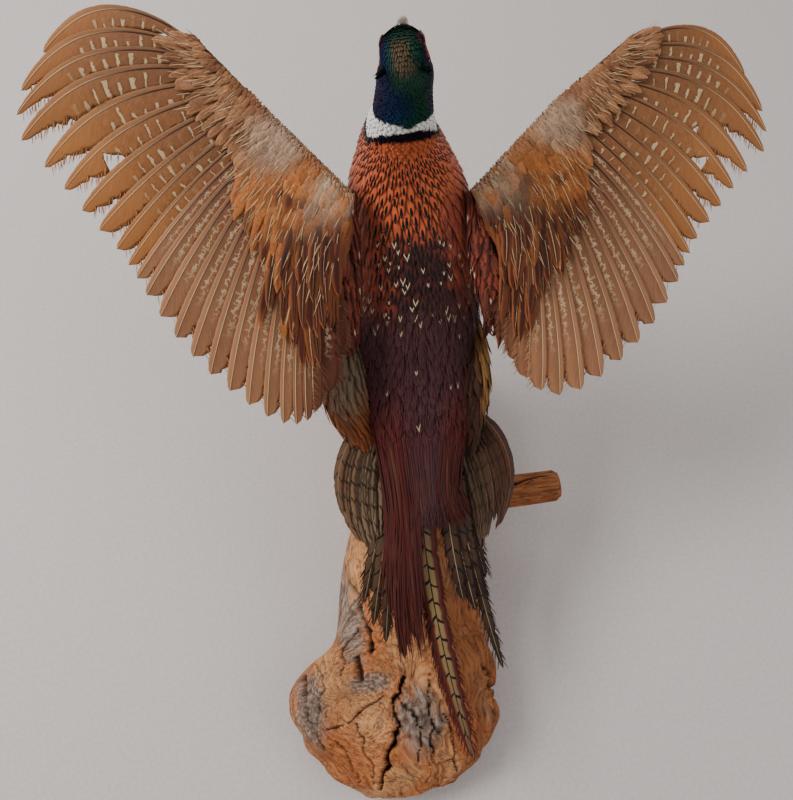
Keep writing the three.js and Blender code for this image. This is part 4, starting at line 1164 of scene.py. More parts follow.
def through(a, b, c, t):
    """Smooth curve through three points, for shares t from 0 to 1, and its direction."""
    a, b, c = (np.array(p, float) for p in (a, b, c))
    return bezier(a, 2 * b - (a + c) / 2, c, t)


def pad_swell(t, radius):
    return radius * (0.35 + 0.65 * np.sin(np.pi * (0.15 + 0.62 * t)) ** 2)


def pad_coat(name, path, radius, size, colour, paint, rows, outward, ragged, seed):
    """Feathers over a rounded pad along a path. size is each feather's length and width."""
    local = np.random.default_rng(seed)
    roots, turns = [], []
    for row in range(rows):
        t = -0.05 + 0.95 * row / (rows - 1)
        round_count = max(int(2 * np.pi * radius(np.clip(t, 0, 1)) / (size[1] * 0.62)), 5)
        turn = (np.arange(round_count) + 0.5 * (row % 2)) / round_count * 2 * np.pi
        turns.append(turn + local.normal(0, 0.12, round_count))
        roots.append(t + local.normal(0, 0.02, round_count))
    root, turn = np.concatenate(roots), np.concatenate(turns)
    share = np.linspace(0, 1, 10)
    whole = np.linalg.norm(np.diff(through(*path, np.linspace(0, 1, 20))[0], axis=0), axis=1).sum()
    length = size[0] * local.uniform(0.8, 1.15, len(root))
    t = root[:, None] + length[:, None] / whole * share
    centre, along = through(*path, np.clip(t, -0.1, 1.0))
    centre = centre + along * (np.clip(t - 1.0, 0, None) * whole)[..., None]
    sideways = unit(np.cross(along, np.array([0, 0, 1.0])))
    over = np.cross(sideways, along)
    spin = turn[:, None] + local.normal(0, 0.15, len(root))[:, None] * share
    normal = unit(sideways * np.cos(spin)[..., None] + over * np.sin(spin)[..., None])
    r = radius(np.clip(t, 0, 1)) * (1 - PAD_TUCK * (1 - share))
    r = r * (1 - 0.55 * np.clip(t - 1.0, 0, 1) * whole / size[0])
    flat_r = r * np.sqrt(np.cos(spin) ** 2 + (PAD_FLATNESS * np.sin(spin)) ** 2)
    lift = local.uniform(0, outward, len(root))[:, None] * 0.006 * share ** 2
    spine = centre + normal * (flat_r + lift)[..., None]
    half = 0.5 * size[1] * local.uniform(0.85, 1.2, len(root))[:, None] * vane_profile(share, 0.25, 3.0)
    left, right = (split_edges(half, share, ragged, seed + k) for k in (1, 2))
    tint = colour(spine, turn[:, None] + 0 * share, t)
    patches = root_patches(turn % (2 * np.pi), root)
    piece = vanes(name, spine, normal, left, right, tint, patches, paint, dome=0.15)
    return piece


def spot_marks(colour, parts):
    """A cream drop near the tip of some feathers."""
    tall = 0.13 - abs(parts.v - 0.8) * 0.8
    drop = (parts.off < tall) * (parts.chance > 0.84)
    edge = ramp(parts.off, [(0.34, 0), (0.5, 1)])
    colour = mix(edge * 0.5, colour, rgb("2a1110"))
    return mix(drop, colour, rgb("ead9bb"))


scapular_paint = plumage("scapular_vanes", 0.55, spot_marks, barb=0.4, bump=0.6)
hair_paint = plumage("loose_hair_feathers", 0.65, barb=0.5, bump=0.7)


def scapular_colour(points, turn, t):
    red, wine, dark = palette("8f3f2a 6f2f22 451d16")
    colour = blend(red, wine, fade(-0.3, 0.6, wander(points, 120)))
    return blend(colour, dark, fade(0.85, 1.2, t))


def flank_colour(points, turn, t):
    grey, orange, brown = palette("8d765e 9c5428 5b3826")
    high = smooth(0.262, 0.300, points[..., 2] + 0.008 * wander(points, 60))[..., None]
    colour = blend(orange, grey, high)
    return blend(colour, brown, fade(0.2, 0.9, wander(points, 150, 3)) * 0.5)


def buff_flank_colour(points, turn, t):
    buff, brown = palette("a9793f 4a2719")
    return blend(brown, buff, smooth(-0.062, -0.074, points[..., 0])[..., None])


def thigh_colour(points, turn, t):
    dark, brown = palette("2c1a13 5a3a24")
    return blend(dark, brown, fade(-0.4, 0.8, wander(points, 110)))


for name, side in (("left", 1), ("right", -1)):
    scapulars = pad_coat(f"scapulars_{name}", np.array(SCAPULAR[name]) / 1000,
                         lambda t: pad_swell(t, SCAPULAR_RADIUS), (0.026, 0.011), scapular_colour,
                         scapular_paint, 17, 0.3, 0.5, 61 + side)
    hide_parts(f"scapular_{name}")
    pad_coat(f"flank_{name}_feathers", np.array(FLANK[name]) / 1000,
             lambda t: pad_swell(t, FLANK_RADIUS[name]), (0.046, 0.011),
             flank_colour if side > 0 else buff_flank_colour, hair_paint, 14, 0.6, 0.5, 64 + side)
    top, low = LEG_ROOT * (side, 1, 1), HOCK * (side, 1, 1)
    middle = (top + low) / 2 + np.array([side * 0.003, 0.003, 0])
    pad_coat(f"thigh_{name}_feathers", (top, middle, low),
             lambda t: THIGH_TOP + (THIGH_END - THIGH_TOP) * np.clip(t, 0.001, 1) ** 0.8, (0.022, 0.006),
             thigh_colour, hair_paint, 17, 0.25, 0.4, 67 + side)

# ---- tail -----------------------------------------------------------------------------------
# Two long barred middle feathers lie over shorter ones that splay to each side. Hair-like rufous
# feathers fall over their roots, and short grey-brown ones stand out round the tail like a skirt.
TAIL_ROOT, TAIL_BEND, TAIL_TIP = (0, -0.046, 0.248), (0.014, 0.074, 0.158), (-0.009, 0.246, 0.122)
BAR_SPACING = 0.0205


def tail_up(along):
    return unit(np.stack([0 * along[..., 0], -along[..., 2], along[..., 1]], -1))


def bar_marks(dark_edge, bar_colour):
    """Narrow black bars across a vane, an even distance apart, on an olive ground."""
    def marks(colour, parts):
        steps = parts.v * parts.reach / BAR_SPACING
        spot = joined(parts.u * 3.0, steps, parts.chance * 9.0)
        rough = cloud(spot, 1.6, 2)
        bent = steps - parts.off * 0.8
        bent = bent + rough * 0.35
        side = (parts.u > 0.5) * 0.22
        wave = abs(maths("FRACT", bent + side) - 0.5)
        bar = wave < rough * 0.15
        inner = parts.off < (0.47 if dark_edge is None else 0.27)
        grain = ramp(parts.barbs, [(0.3, 0), (0.75, 1)])
        colour = mix(grain * 0.25, colour, rgb("3d3020"))
        if dark_edge is not None:
            edge = ramp(parts.off, [(0.18, 0), (0.28, 1)])
            colour = mix(edge, colour, dark_edge)
        return mix(bar * inner, colour, bar_colour)
    return marks


BLACK_BAR = rgb("0f0b09")
middle_paint = plumage("middle_tail_vanes", 0.5, bar_marks(rgb("5a2018"), BLACK_BAR), shaft=rgb("120c09"),
                       shaft_width=0.035)
side_paint = plumage("side_tail_vanes", 0.55, bar_marks(None, BLACK_BAR), shaft=rgb("a08a68"),
                     shaft_width=0.03)
skirt_paint = plumage("skirt_vanes", 0.6, bar_marks(None, rgb("3f2c1e")), barb=0.5, bump=0.7,
                      shaft=rgb("93785c"), shaft_width=0.03)
TAIL_STATIONS, TAIL_BARB = 48, (0.008, 0.016)


def tail_strip(name, start, plan, paint, tints, replaced, seed):
    """Long feathers laid beside the tail's ridge. Each plan line: reach along the ridge, offset at
    the root and at the tip, drop below the ridge, half width on +X and on -X."""
    plan = np.array(plan, float)
    share = np.linspace(0, 1, TAIL_STATIONS)
    reach, out_root, out_tip, drop, wide_left, wide_right = (plan[:, k][:, None] for k in range(6))
    t = start + (reach - start) * share
    spine, along = bezier(TAIL_ROOT, TAIL_BEND, TAIL_TIP, np.clip(t, 0, 1))
    up = tail_up(along)
    across = out_root + (out_tip - out_root) * share ** 1.3
    spine = spine - up * (drop + 0.004 * (1 - share))[..., None] + (1.0, 0, 0) * across[..., None]
    shape = vane_profile(share, 0.12, 5.0) * (1 - 0.30 * share)
    wide_left = split_edges(wide_left * shape, share, 0.5, seed + 1)
    wide_right = split_edges(wide_right * shape, share, 0.5, seed + 2)
    base, tip = palette(tints)
    tint = blend(base, tip, fade(0.55, 1.0, share) + 0 * spine[..., :1])
    patches = strip_patches(len(plan))
    piece = vanes(name, spine, up, wide_right, wide_left, tint, patches, paint, across=3, dome=0.16,
                  thick=0.0006, two_sided=True)
    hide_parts(replaced)
    side = unit(np.cross(unit(np.gradient(spine, axis=1)), up))
    each, frayed = (300, rgb("5a2417")) if name.startswith("middle") else (50, tip)
    for face, half in ((1, wide_left), (-1, wide_right)):
        loose_barbs(f"{name}_barbs_{'left' if face > 0 else 'right'}", spine, up, face * side, half, frayed,
                    each, TAIL_BARB, seed + 20 + face, low=0.25, sweep=3.0)


MIDDLE_PLAN = ((0.90, 0.008, 0.004, 0.0060, 0.016, 0.013), (1.00, 0.008, 0.000, 0.0030, 0.014, 0.016))
tail_strip("middle_tail_feathers", 0.02, MIDDLE_PLAN, middle_paint, "9c7e52 7c5e3e", "tail_middle", 80)
SIDE_PLANS = {
    "left": ((0.60, 0.020, 0.030, 0.0075, 0.010, 0.010), (0.66, 0.024, 0.047, 0.0095, 0.011, 0.010),
             (0.60, 0.030, 0.064, 0.0115, 0.011, 0.010), (0.54, 0.036, 0.074, 0.0140, 0.011, 0.010),
             (0.46, 0.042, 0.080, 0.0165, 0.010, 0.010)),
    "right": ((0.50, -0.020, -0.028, 0.0070, 0.012, 0.012), (0.54, -0.027, -0.040, 0.0095, 0.013, 0.013),
              (0.50, -0.034, -0.050, 0.0120, 0.013, 0.012), (0.75, -0.040, -0.058, 0.0150, 0.009, 0.009),
              (0.44, -0.045, -0.058, 0.0180, 0.011, 0.010))}
for name, plan in SIDE_PLANS.items():
    # The right side's feathers get darker tints than the left's: painted shade on the side away from the
    # lamp.
    tints, seed = ("664a36 38200f", 84) if name == "left" else ("4f3424 2c150d", 87)
    tail_strip(f"side_tail_feathers_{name}", 0.03, plan[::-1], side_paint, tints, f"tail_side_{name}", seed)

SKIRT_INNER = np.array([(30, -98, 252), (44, -44, 222), (48, 34, 178)]) / 1000
SKIRT_OUTER = np.array([(56, -112, 252), (122, -58, 232), (76, 12, 182)]) / 1000
SKIRT_FEATHERS, SKIRT_LAYERS = 17, 2
SKIRT_LEAN, SKIRT_HALF_WIDTH = 0.5, 0.0072
for name, side in (("left", 1), ("right", -1)):
    local = np.random.default_rng(90 + side)
    count = SKIRT_FEATHERS * SKIRT_LAYERS
    place = (np.arange(count) % SKIRT_FEATHERS + local.uniform(0, 1, count)) / SKIRT_FEATHERS
    layer = np.arange(count) // SKIRT_FEATHERS
    order = np.argsort(layer, kind="stable")
    place, layer = place[order], layer[order]
    share = np.linspace(0, 1, 30)
    paths = [blend(inner, outer, place[:, None]) * (side, 1, 1)
             for inner, outer in zip(SKIRT_INNER, SKIRT_OUTER)]
    trim = local.uniform(0.84, 1.0, count) - 0.16 * layer
    t = trim[:, None] * share
    spine, along = bezier(*(p[:, None] for p in paths), t)
    up = unit(np.stack([side * SKIRT_LEAN + 0 * t, -along[..., 2], along[..., 1]], -1))
    spine = spine + up * (0.0012 * layer[:, None] + 0.0010 * local.uniform(-1, 1, (count, 1)))[..., None]
    half = SKIRT_HALF_WIDTH * vane_profile(share, 0.25, 3.0) * local.uniform(0.85, 1.15, (count, 1))
    left, right = (split_edges(half, share, 0.45, 92 + side + k) for k in (0, 5))
    # The right skirt gets a darker palette and runs further into brown than the left: painted shade on the
    # side away from the lamp.
    grey, brown = palette("8f765a 75482e" if side > 0 else "644c38 5c3422")
    tone = smooth(0.1, 0.9, place if side < 0 else 0.6 * place)[:, None, None] + 0 * spine[..., :1]
    tint = blend(grey, brown, tone) * local.uniform(0.8, 1.12, (count, 1, 1))
    patches = root_patches(place + layer, local.uniform(0, 1, count))
    skirt = vanes(f"tail_skirt_{name}_feathers", spine, up, left, right, tint, patches, skirt_paint, across=2,
                  dome=0.14, thick=0.0005)
    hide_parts(f"tail_skirt_{name}")

# Hair-like coverts root on the rump and trail over the tail. Those on the bird's left are longer.
HAIRS = 1900
local = np.random.default_rng(95)
root_index = local.uniform(0.05, 1.5, HAIRS)
root_turn = np.clip(local.normal(0, 0.75, HAIRS), -1.7, 1.7)
share = np.linspace(0, 1, 12)
root_at, root_up, root_tail = body_frame(root_index, root_turn)
satin = smooth(0.30, 0.55, root_turn) * (local.random(HAIRS) < 0.8)
reach = local.uniform(0.13, 0.20, HAIRS) + 0.48 * satin * local.uniform(0.35, 1, HAIRS)
t = np.clip(0.02 + reach[:, None] * share, 0, 1)
ridge, ridge_along = bezier(TAIL_ROOT, TAIL_BEND, TAIL_TIP, t)
aside = (0.026 + 0.008 * satin[:, None]) * np.sin(root_turn)[:, None] * (1 + 0.5 * share)
aside = aside + local.normal(0, 0.004, (HAIRS, 1)) * share
hang = 0.014 * (1 - np.cos(root_turn))[:, None] + 0.0035 * local.uniform(-0.6, 1.0, (HAIRS, 1))
drop = hang - 0.0045 - 0.004 * (1 - share)
over_tail = ridge + (1.0, 0, 0) * aside[..., None] - tail_up(ridge_along) * drop[..., None]
leave = fade(0.0, 0.55, share)
run = 0.055 * share[:, None]
sink = (0.0035 * (1 - share) ** 2)[:, None]
straight = root_at[:, None] + root_tail[:, None] * run - root_up[:, None] * sink
spine = blend(straight, over_tail, leave)
wave = local.normal(0, 0.0012, (HAIRS, 1)) * np.sin(share * local.uniform(3, 9, (HAIRS, 1)))
spine = spine + (1.0, 0, 0) * wave[..., None]
half = local.uniform(0.0006, 0.0014, (HAIRS, 1)) * (1 + 0.8 * satin[:, None]) * vane_profile(share, 0.1, 1.6)
up = unit(blend(np.broadcast_to(root_up[:, None], spine.shape), tail_up(ridge_along), leave))
rufous, purple, wine = palette("6f3c24 553035 5f1e17")
middle = np.abs(root_turn)[:, None]
tint = blend(purple, wine, smooth(0.15, 0.6, middle + local.normal(0, 0.12, (HAIRS, 1))))
tint = blend(tint, rufous, (local.uniform(0, 1, (HAIRS, 1)) > 0.86) * 1.0)
tint = np.clip(tint[:, None] * local.uniform(0.7, 1.2, (HAIRS, 1, 1)) * np.ones((1, len(share), 1)), 0, 1)
hair_coat = vanes("hair_like_tail_coverts", spine, up, half, half, tint, root_patches(root_turn, root_index),
                  hair_paint, dome=0.3, thick=0.0003)

# ---- driftwood base -------------------------------------------------------------------------
# The bird stands on a weathered stem that swells into a burl behind it, with a short cut branch.
# Its grain is raised, its cracks are open and painted near-black inside as painted shade, and bark-free
# patches have turned grey.
LOG_SECTIONS = np.array([
    [-272, -10, 34, 52], [-252, -10, 58, 96], [-205, -9, 72, 121], [-130, -8, 77, 119], [-50, 1, 82, 108],
    [30, 20, 86, 99], [95, 40, 92, 95], [122, 54, 114, 100], [160, 60, 127, 104], [205, 62, 119, 97],
    [245, 61, 92, 82], [276, 60, 52, 50]]) / 1000
LOG_BUMP, LOG_MIDDLE = 0.045, 0.46
LOG_RINGS, LOG_SIDES = 330, 300
LOG_NEAR_END, LOG_FAR_END = -0.274, 0.278
BURL = np.array([0.121, 0.158])
# Open cracks as (x, y) paths seen from above in millimetres, with half width and depth in metres.
CRACKS = (
    (((52, 150), (66, 176), (70, 208), (83, 234), (97, 262)), 0.0017, 0.013),
    (((148, 192), (128, 188), (104, 176), (78, 166)), 0.0007, 0.004),
    (((172, 130), (178, 165), (160, 210)), 0.0018, 0.009),
    (((20, 150), (26, 185), (30, 235)), 0.0010, 0.005),
    (((-50, 150), (-62, 185), (-52, 215)), 0.0016, 0.008),
    (((100, 30), (86, 80), (84, 118)), 0.0014, 0.007),
    (((140, 205), (132, 232), (120, 252)), 0.0012, 0.006),
    (((60, 170), (40, 205), (46, 240)), 0.0009, 0.005),
    (((118, 190), (108, 222), (104, 256)), 0.0008, 0.005),
    (((155, 120), (150, 150), (166, 186)), 0.0009, 0.005),
    (((98, 90), (120, 108), (124, 138)), 0.0009, 0.005),
    (((8, 196), (0, 226), (4, 258)), 0.0011, 0.006),
    (((70, -240), (60, -120), (72, 10)), 0.0012, 0.006),
    (((-50, -250), (-62, -140), (-50, -80)), 0.0014, 0.007),
    (((10, -262), (22, -180), (12, -110)), 0.0012, 0.006),
)
POCKET_LOW, POCKET_HIGH, POCKET_DEPTH = np.array([0.099, 0.118]), np.array([0.107, 0.147]), 0.009
GREY_PATCHES = np.array([(106, 82, 20, 50), (40, 196, 30, 40), (168, 166, 24, 44),
                         (112, 50, 14, 60), (92, 150, 28, 12), (-10, -200, 30, 50)]) / 1000


def distance_to_path(x, y, path):
    """Distance of each (x, y) from a line through the path's points."""
    best = np.full(x.shape, 9.0)
    for (ax, ay), (bx, by) in zip(path, path[1:]):
        run = (bx - ax) ** 2 + (by - ay) ** 2
        t = np.clip(((x - ax) * (bx - ax) + (y - ay) * (by - ay)) / run, 0, 1)
        best = np.minimum(best, np.hypot(x - ax - t * (bx - ax), y - ay - t * (by - ay)))
    return best


def closed_tube(name, points):
    """A closed mesh through rings of points, with a hub at the middle of each end."""
    rings, sides = points.shape[:2]
    verts = np.concatenate([points.reshape(-1, 3), [points[0].mean(0), points[-1].mean(0)]])
    i, k = np.meshgrid(np.arange(rings - 1), np.arange(sides), indexing="ij")
    nxt = (k + 1) % sides
    quads = np.stack([i * sides + k, i * sides + nxt, (i + 1) * sides + nxt, (i + 1) * sides + k], -1)
    quads = quads.reshape(-1, 4)
    first, last = rings * sides, rings * sides + 1
    side = np.arange(sides)
    caps = [[first, (s + 1) % sides, s] for s in side]
    caps += [[last, (rings - 1) * sides + s, (rings - 1) * sides + (s + 1) % sides] for s in side]
    mesh = bpy.data.meshes.new(name)
    mesh.from_pydata(verts.tolist(), [], quads.tolist() + caps)
    mesh.update()
    piece = placed(name, mesh)
    select(piece)
    bpy.ops.object.mode_set(mode="EDIT")
    bpy.ops.mesh.select_all(action="SELECT")
    bpy.ops.mesh.normals_make_consistent(inside=False)
    bpy.ops.object.mode_set(mode="OBJECT")
    return piece


def lay_grain(piece, places):
    """Stores where each point lies in the wood's own grain, for the material to read."""
    layer = piece.data.attributes.new("grain", "FLOAT_VECTOR", "POINT")
    layer.data.foreach_set("vector", np.asarray(places, np.float32).ravel())


def grain_place(at):
    """The grain runs along the stem, waves, and fans out round the heart of the burl."""
    sway = np.stack([wander(at, 26, 1), 0 * at[..., 0], wander(at, 24, 4)], -1) * 0.010
    sway = sway + np.stack([wander(at, 75, 2), 0 * at[..., 0], wander(at, 70, 6)], -1) * 0.0035
    stem = (at + sway) * (1, 0.07, 1)
    off = at[..., :2] - BURL
    far = np.linalg.norm(off, axis=-1)
    ray = off / np.maximum(far, 1e-6)[..., None]
    fan = np.concatenate([0.050 * ray + 0.25 * sway[..., :2], (0.06 * far)[..., None]], -1)
    near = np.exp(-(far / 0.072) ** 2) * smooth(0.04, 0.075, at[..., 2])
    return blend(stem, fan, near[..., None])


def wood_colour(at, strands, carved, crack_shade):
    """Orange-tan heartwood with brown streaks, grey weathered patches, painted shade darkening the -x side
    and near-black painted shade in the cracks.
    """
    orange, tan, brown, grey, pale = palette("bd7443 d19866 80492b 665b53 ab9c8f")
    x, y, z = np.moveaxis(at, -1, 0)
    large, small = wander(at * (1, 0.5, 1), 42), wander(strands, 420, 2)
    colour = blend(orange, tan, fade(-0.5, 0.7, large + 0.6 * small))
    colour = blend(colour, brown, fade(0.10, 0.8, carved) * 0.6)
    # Painted shade: a darker brown towards -x, the side turned away from the window lamp.
    colour = blend(colour, rgb("8a4c28"), 0.6 * smooth(0.045, -0.02, x + 0.012 * large)[..., None])
    weathered = np.zeros(x.shape)
    for px, py, rx, ry in GREY_PATCHES:
        off = np.hypot((x - px) / rx, (y - py) / ry)
        weathered = np.maximum(weathered, 1 - smooth(0.5, 1.25, off + 0.35 * wander(strands, 300, 7)))
    low = 1 - smooth(0.012, 0.050, z + 0.012 * large)
    weathered = np.maximum(weathered, 0.55 * low * smooth(-0.2, 0.5, large))
    worn = 0.5 * smooth(0.35, 0.8, wander(strands, 140, 9)) * smooth(-0.1, 0.5, large)
    weathered = np.maximum(weathered, worn)
    silver = blend(grey, pale, fade(-0.5, 0.6, small)) * (1 - 0.45 * np.clip(carved, 0, 1))[..., None]
    colour = blend(colour, silver, (weathered * 0.9)[..., None])
    # Painted shade: near-black where the cracks and the pocket open.
    return blend(colour, rgb("0e0806"), np.clip(crack_shade, 0, 1)[..., None])


index, turn = ring_grid(len(LOG_SECTIONS) - 1, LOG_RINGS, LOG_SIDES)
log_y, log_x, log_half, log_height = (spline(LOG_SECTIONS[:, k], index) for k in range(4))
ridges = np.sin(3 * turn + index * 1.7) + 0.7 * np.sin(7 * turn - index * 2.3)
rough = 1 + LOG_BUMP * ridges
across, high = np.cos(turn), np.sin(turn)
bare = np.stack([log_x + log_half * rough * across, log_y, log_height * LOG_MIDDLE
                 + log_height * (1 - LOG_MIDDLE) * rough * high], -1)
strands = grain_place(bare)
furrow = np.abs(wander(strands, 120) + 0.45 * wander(strands, 300, 5))
fine_furrow = np.abs(wander(strands, 640, 11))
knotty = smooth(6.4, 7.6, index)
carved = np.clip(1 - furrow / 0.20, 0, 1) ** 1.3 * (0.4 + 0.5 * knotty)
crack_shade = np.zeros(index.shape)
carve = np.zeros(index.shape)
for path, half_width, crack_depth in CRACKS:
    sway = 0.0045 * wander(bare, 85, 6) + 0.0015 * wander(bare, 260, 3)
    off = distance_to_path(bare[..., 0] + sway, bare[..., 1], np.array(path) / 1000)
    top = smooth(0.3, 0.6, bare[..., 2] / log_height)
    gape = half_width * (1 + 0.5 * wander(bare, 130, 8))
    opened = (1 - smooth(0.5, 1.7, off / gape)) * top
    crack_shade = np.maximum(crack_shade, opened)
    carve = np.maximum(carve, crack_depth * opened)
inside = np.minimum(bare[..., :2] - POCKET_LOW, POCKET_HIGH - bare[..., :2]).min(-1)
pocket = smooth(0, 0.0016, inside) * smooth(0.5, 0.7, bare[..., 2] / log_height)
knots = np.abs(np.sin(2.5 * turn + 0.9 * index + wander(bare, 30, 2))) ** 3
lumps = knotty * (0.0040 * (wander(bare, 48, 8) + 0.7) + 0.0050 * knots)
carve = np.maximum(carve, POCKET_DEPTH * pocket) + (0.0012 + 0.0018 * knotty) * carved \
    + 0.0005 * np.clip(1 - fine_furrow / 0.4, 0, 1) + lumps
girth = log_half + log_height
inward = np.stack([-across * log_height / girth, 0 * across, -high * log_half / girth], -1)
log_points = bare + unit(inward) * carve[..., None]
ends = np.minimum(smooth(0, 0.5, index), smooth(0, 0.4, len(LOG_SECTIONS) - 1 - index))
log_points[..., 2] = np.maximum(log_points[..., 2], 0)
torn = 0.005 * wander(bare * (1, 0, 1), 60) * (1 - ends)
log_points[..., 1] = np.clip(log_points[..., 1] + torn, LOG_NEAR_END, LOG_FAR_END)
# The cracks and the pocket are painted near-black: painted shade in these hollows.
log_tint = wood_colour(bare, strands, carved, np.maximum(crack_shade, pocket * 0.85))

wood_paint, shader, place = new_material("driftwood_grain", 0.72, 0.3)
tint = carried(shader, "tint")
grain = carried(shader, "grain", "Vector")
fibre = cloud(grain, 330, 6, 0.68)
vein = cloud(grain, 110, 4, 0.6)
fissure = abs(vein - 0.5)
fissure = ramp(fissure, [(0.0, 1), (0.016, 0)])
blotch = cloud(place, 38, 5)
shade = ramp(fibre, [(0.34, (0.56, 0.5, 0.46)), (0.5, (0.96, 0.94, 0.92)), (0.68, (1.14, 1.12, 1.09))])
colour = times(tint, shade)
colour = times(colour, ramp(blotch, [(0.3, (0.8, 0.76, 0.74)), (0.65, (1.1, 1.09, 1.08))]))
colour = mix(fissure * 0.6, colour, rgb("3a2116"))
feed(shader, "Base Color", colour)
feed(shader, "Roughness", ramp(fibre, [(0.3, 0.85), (0.7, 0.6)]))
relief = fibre - fissure * 0.5
emboss(shader, relief, 0.9, 0.0016)


def at_hubs(values):
    """Values for a closed tube's points: each ring's, then one for the hub at each end."""
    return np.concatenate([values.reshape(-1, 3), values[0].mean(0)[None], values[-1].mean(0)[None]])


log = closed_tube("driftwood_stem", log_points)
paint_points(log, at_hubs(log_tint))
lay_grain(log, at_hubs(strands))
cover(log, wood_paint)
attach(log, "root")
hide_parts("base_driftwood")

STUB_ROOT, STUB_TIP, STUB_RADIUS = np.array([-0.020, -0.052, 0.078]), np.array([-0.180, -0.045, 0.088]), 0.022
stub_share, stub_turn = ring_grid(1, 150, 120)
stub_way = unit(STUB_TIP - STUB_ROOT)
stub_side = unit(np.cross(stub_way, [0, 0, 1.0]))
stub_over = np.cross(stub_side, stub_way)
stub_axis = STUB_ROOT + (STUB_TIP - STUB_ROOT) * stub_share[..., None]
stub_grain = np.sin(9 * stub_turn + 6 * wander(stub_axis, 20) + 3 * stub_share)
stub_grain = stub_grain + 0.6 * np.sin(23 * stub_turn + 5 * stub_share)
split_line = np.abs((stub_turn - 1.9 - 0.25 * np.sin(9 * stub_share) + np.pi) % (2 * np.pi) - np.pi)
stub_crack = (1 - smooth(0.03, 0.10, split_line)) * smooth(0.2, 0.3, stub_share)
stub_crack = stub_crack * (1 - smooth(0.85, 0.95, stub_share))
stub_r = STUB_RADIUS * (1 - 0.10 * stub_share) * (1 + 0.03 * np.sin(3 * stub_turn + 4 * stub_share))
stub_r = stub_r - 0.0009 * np.clip(-stub_grain, 0, 1) - 0.005 * stub_crack
stub_r = stub_r - 0.004 * smooth(0.96, 1.0, stub_share)
stub_points = stub_axis + stub_side * (stub_r * np.cos(stub_turn))[..., None] \
    + stub_over * (0.85 * stub_r * np.sin(stub_turn))[..., None]
stub_strands = stub_points * (0.10, 1, 1) + 0.004 * wander(stub_points, 60)[..., None]
# The branch takes the painted shade of the wood's -x side, and its split is painted near-black as painted
# shade.
stub_tint = wood_colour(stub_points * (0.3, 2.0, 1), stub_strands, np.clip(-stub_grain, 0, 1), stub_crack)
stub = closed_tube("driftwood_branch", stub_points)
paint_points(stub, at_hubs(stub_tint))
lay_grain(stub, at_hubs(stub_strands))
cover(stub, wood_paint)
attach(stub, "root")

# ---- bill -----------------------------------------------------------------------------------
# A short strong bill of horn, dark at the root and pale at the tip. The upper half curves down
# over the lower one and has a slit nostril on each side.
BILL_ROOT, BILL_TIP = np.array([0, -0.286, 0.592]), np.array([0, -0.3155, 0.5785])
BILL_WIDTH, BILL_DEPTH = 0.0096, 0.0085

horn_paint, shader, place = new_material("horn_bill", 0.38)
tint = carried(shader, "tint")
layers = cloud(place, 700, 3)
feed(shader, "Base Color", mix(layers * 0.35, tint, rgb("2a211a")))
emboss(shader, layers, 0.35, 0.0003)
feed(shader, "Coat Weight", 0.3)

for name, reach, hook, rise, half in (("upper", 1.0, 0.0032, 0.62 * BILL_DEPTH, 0.5 * BILL_WIDTH),
                                      ("lower", 0.88, 0.0006, -0.40 * BILL_DEPTH, 0.45 * BILL_WIDTH)):
    share, turn = ring_grid(1, 60, 48)
    bill_along = BILL_TIP - BILL_ROOT
    bill_up = unit(np.array([0, bill_along[2], -bill_along[1]]))
    swell = np.sqrt(np.maximum(1 - share ** 2.2, 0.003))
    middle = BILL_ROOT + bill_along * (share * reach)[..., None] - bill_up * (hook * share ** 3)[..., None]
    closed_side = np.where(np.sin(turn) > 0, 1.0, 0.16)
    nostril = np.exp(-((share - 0.33) / 0.09) ** 2) * np.exp(-((np.abs(np.cos(turn)) - 0.66) / 0.09) ** 2)
    nostril = nostril * (np.sin(turn) > 0) * (name == "upper")
    inward = 1 - 0.20 * nostril
    high = rise * swell * closed_side * np.sin(turn) * inward - (name == "lower") * 0.0004
    horn = middle + bill_up * high[..., None]
    horn[..., 0] += half * swell * np.cos(turn) * inward
    bill = closed_tube(f"bill_{name}_horn", turn_head(horn, 1.0))
    colour = blend(rgb("5b4a3e"), rgb("c4ab8e"), fade(0.05, 0.55, share + 0.08 * np.sin(3 * turn)))
    # Painted shade: the nostril slit is painted near-black.
    colour = blend(colour, rgb("0b0807"), np.clip(1.6 * nostril, 0, 1)[..., None])
    paint_points(bill, np.concatenate([colour.reshape(-1, 3), colour[0, :1], colour[-1, :1]]))
    cover(bill, horn_paint)
    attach(bill, "root")
    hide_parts(f"bill_{name}")

# ---- eyes -----------------------------------------------------------------------------------
# Glass eyes with a round black pupil in an orange-brown iris. Each is set in the bare cheek and
# held by a rim of finely beaded lid skin.
EYE_CENTRE, EYE_RADIUS = np.array([0.0118, -0.2735, 0.5946]), 0.0052
GAZE = np.array([0.93, -0.33, 0.10])
LID_RADIUS, LID_THICK, LID_BEAD = 0.0041, 0.0008, 0.00016
GOLDEN_ANGLE = 2.399963

glass_paint, shader, place = new_material("glass_eye", 0.06, 0.6)
feed(shader, "Base Color", carried(shader, "tint"))
feed(shader, "Coat Weight", 1.0)
feed(shader, "Coat Roughness", 0.02)
lid_paint, shader, place = new_material("lid_skin", 0.55, 0.4)
feed(shader, "Base Color", rgb("451314"))

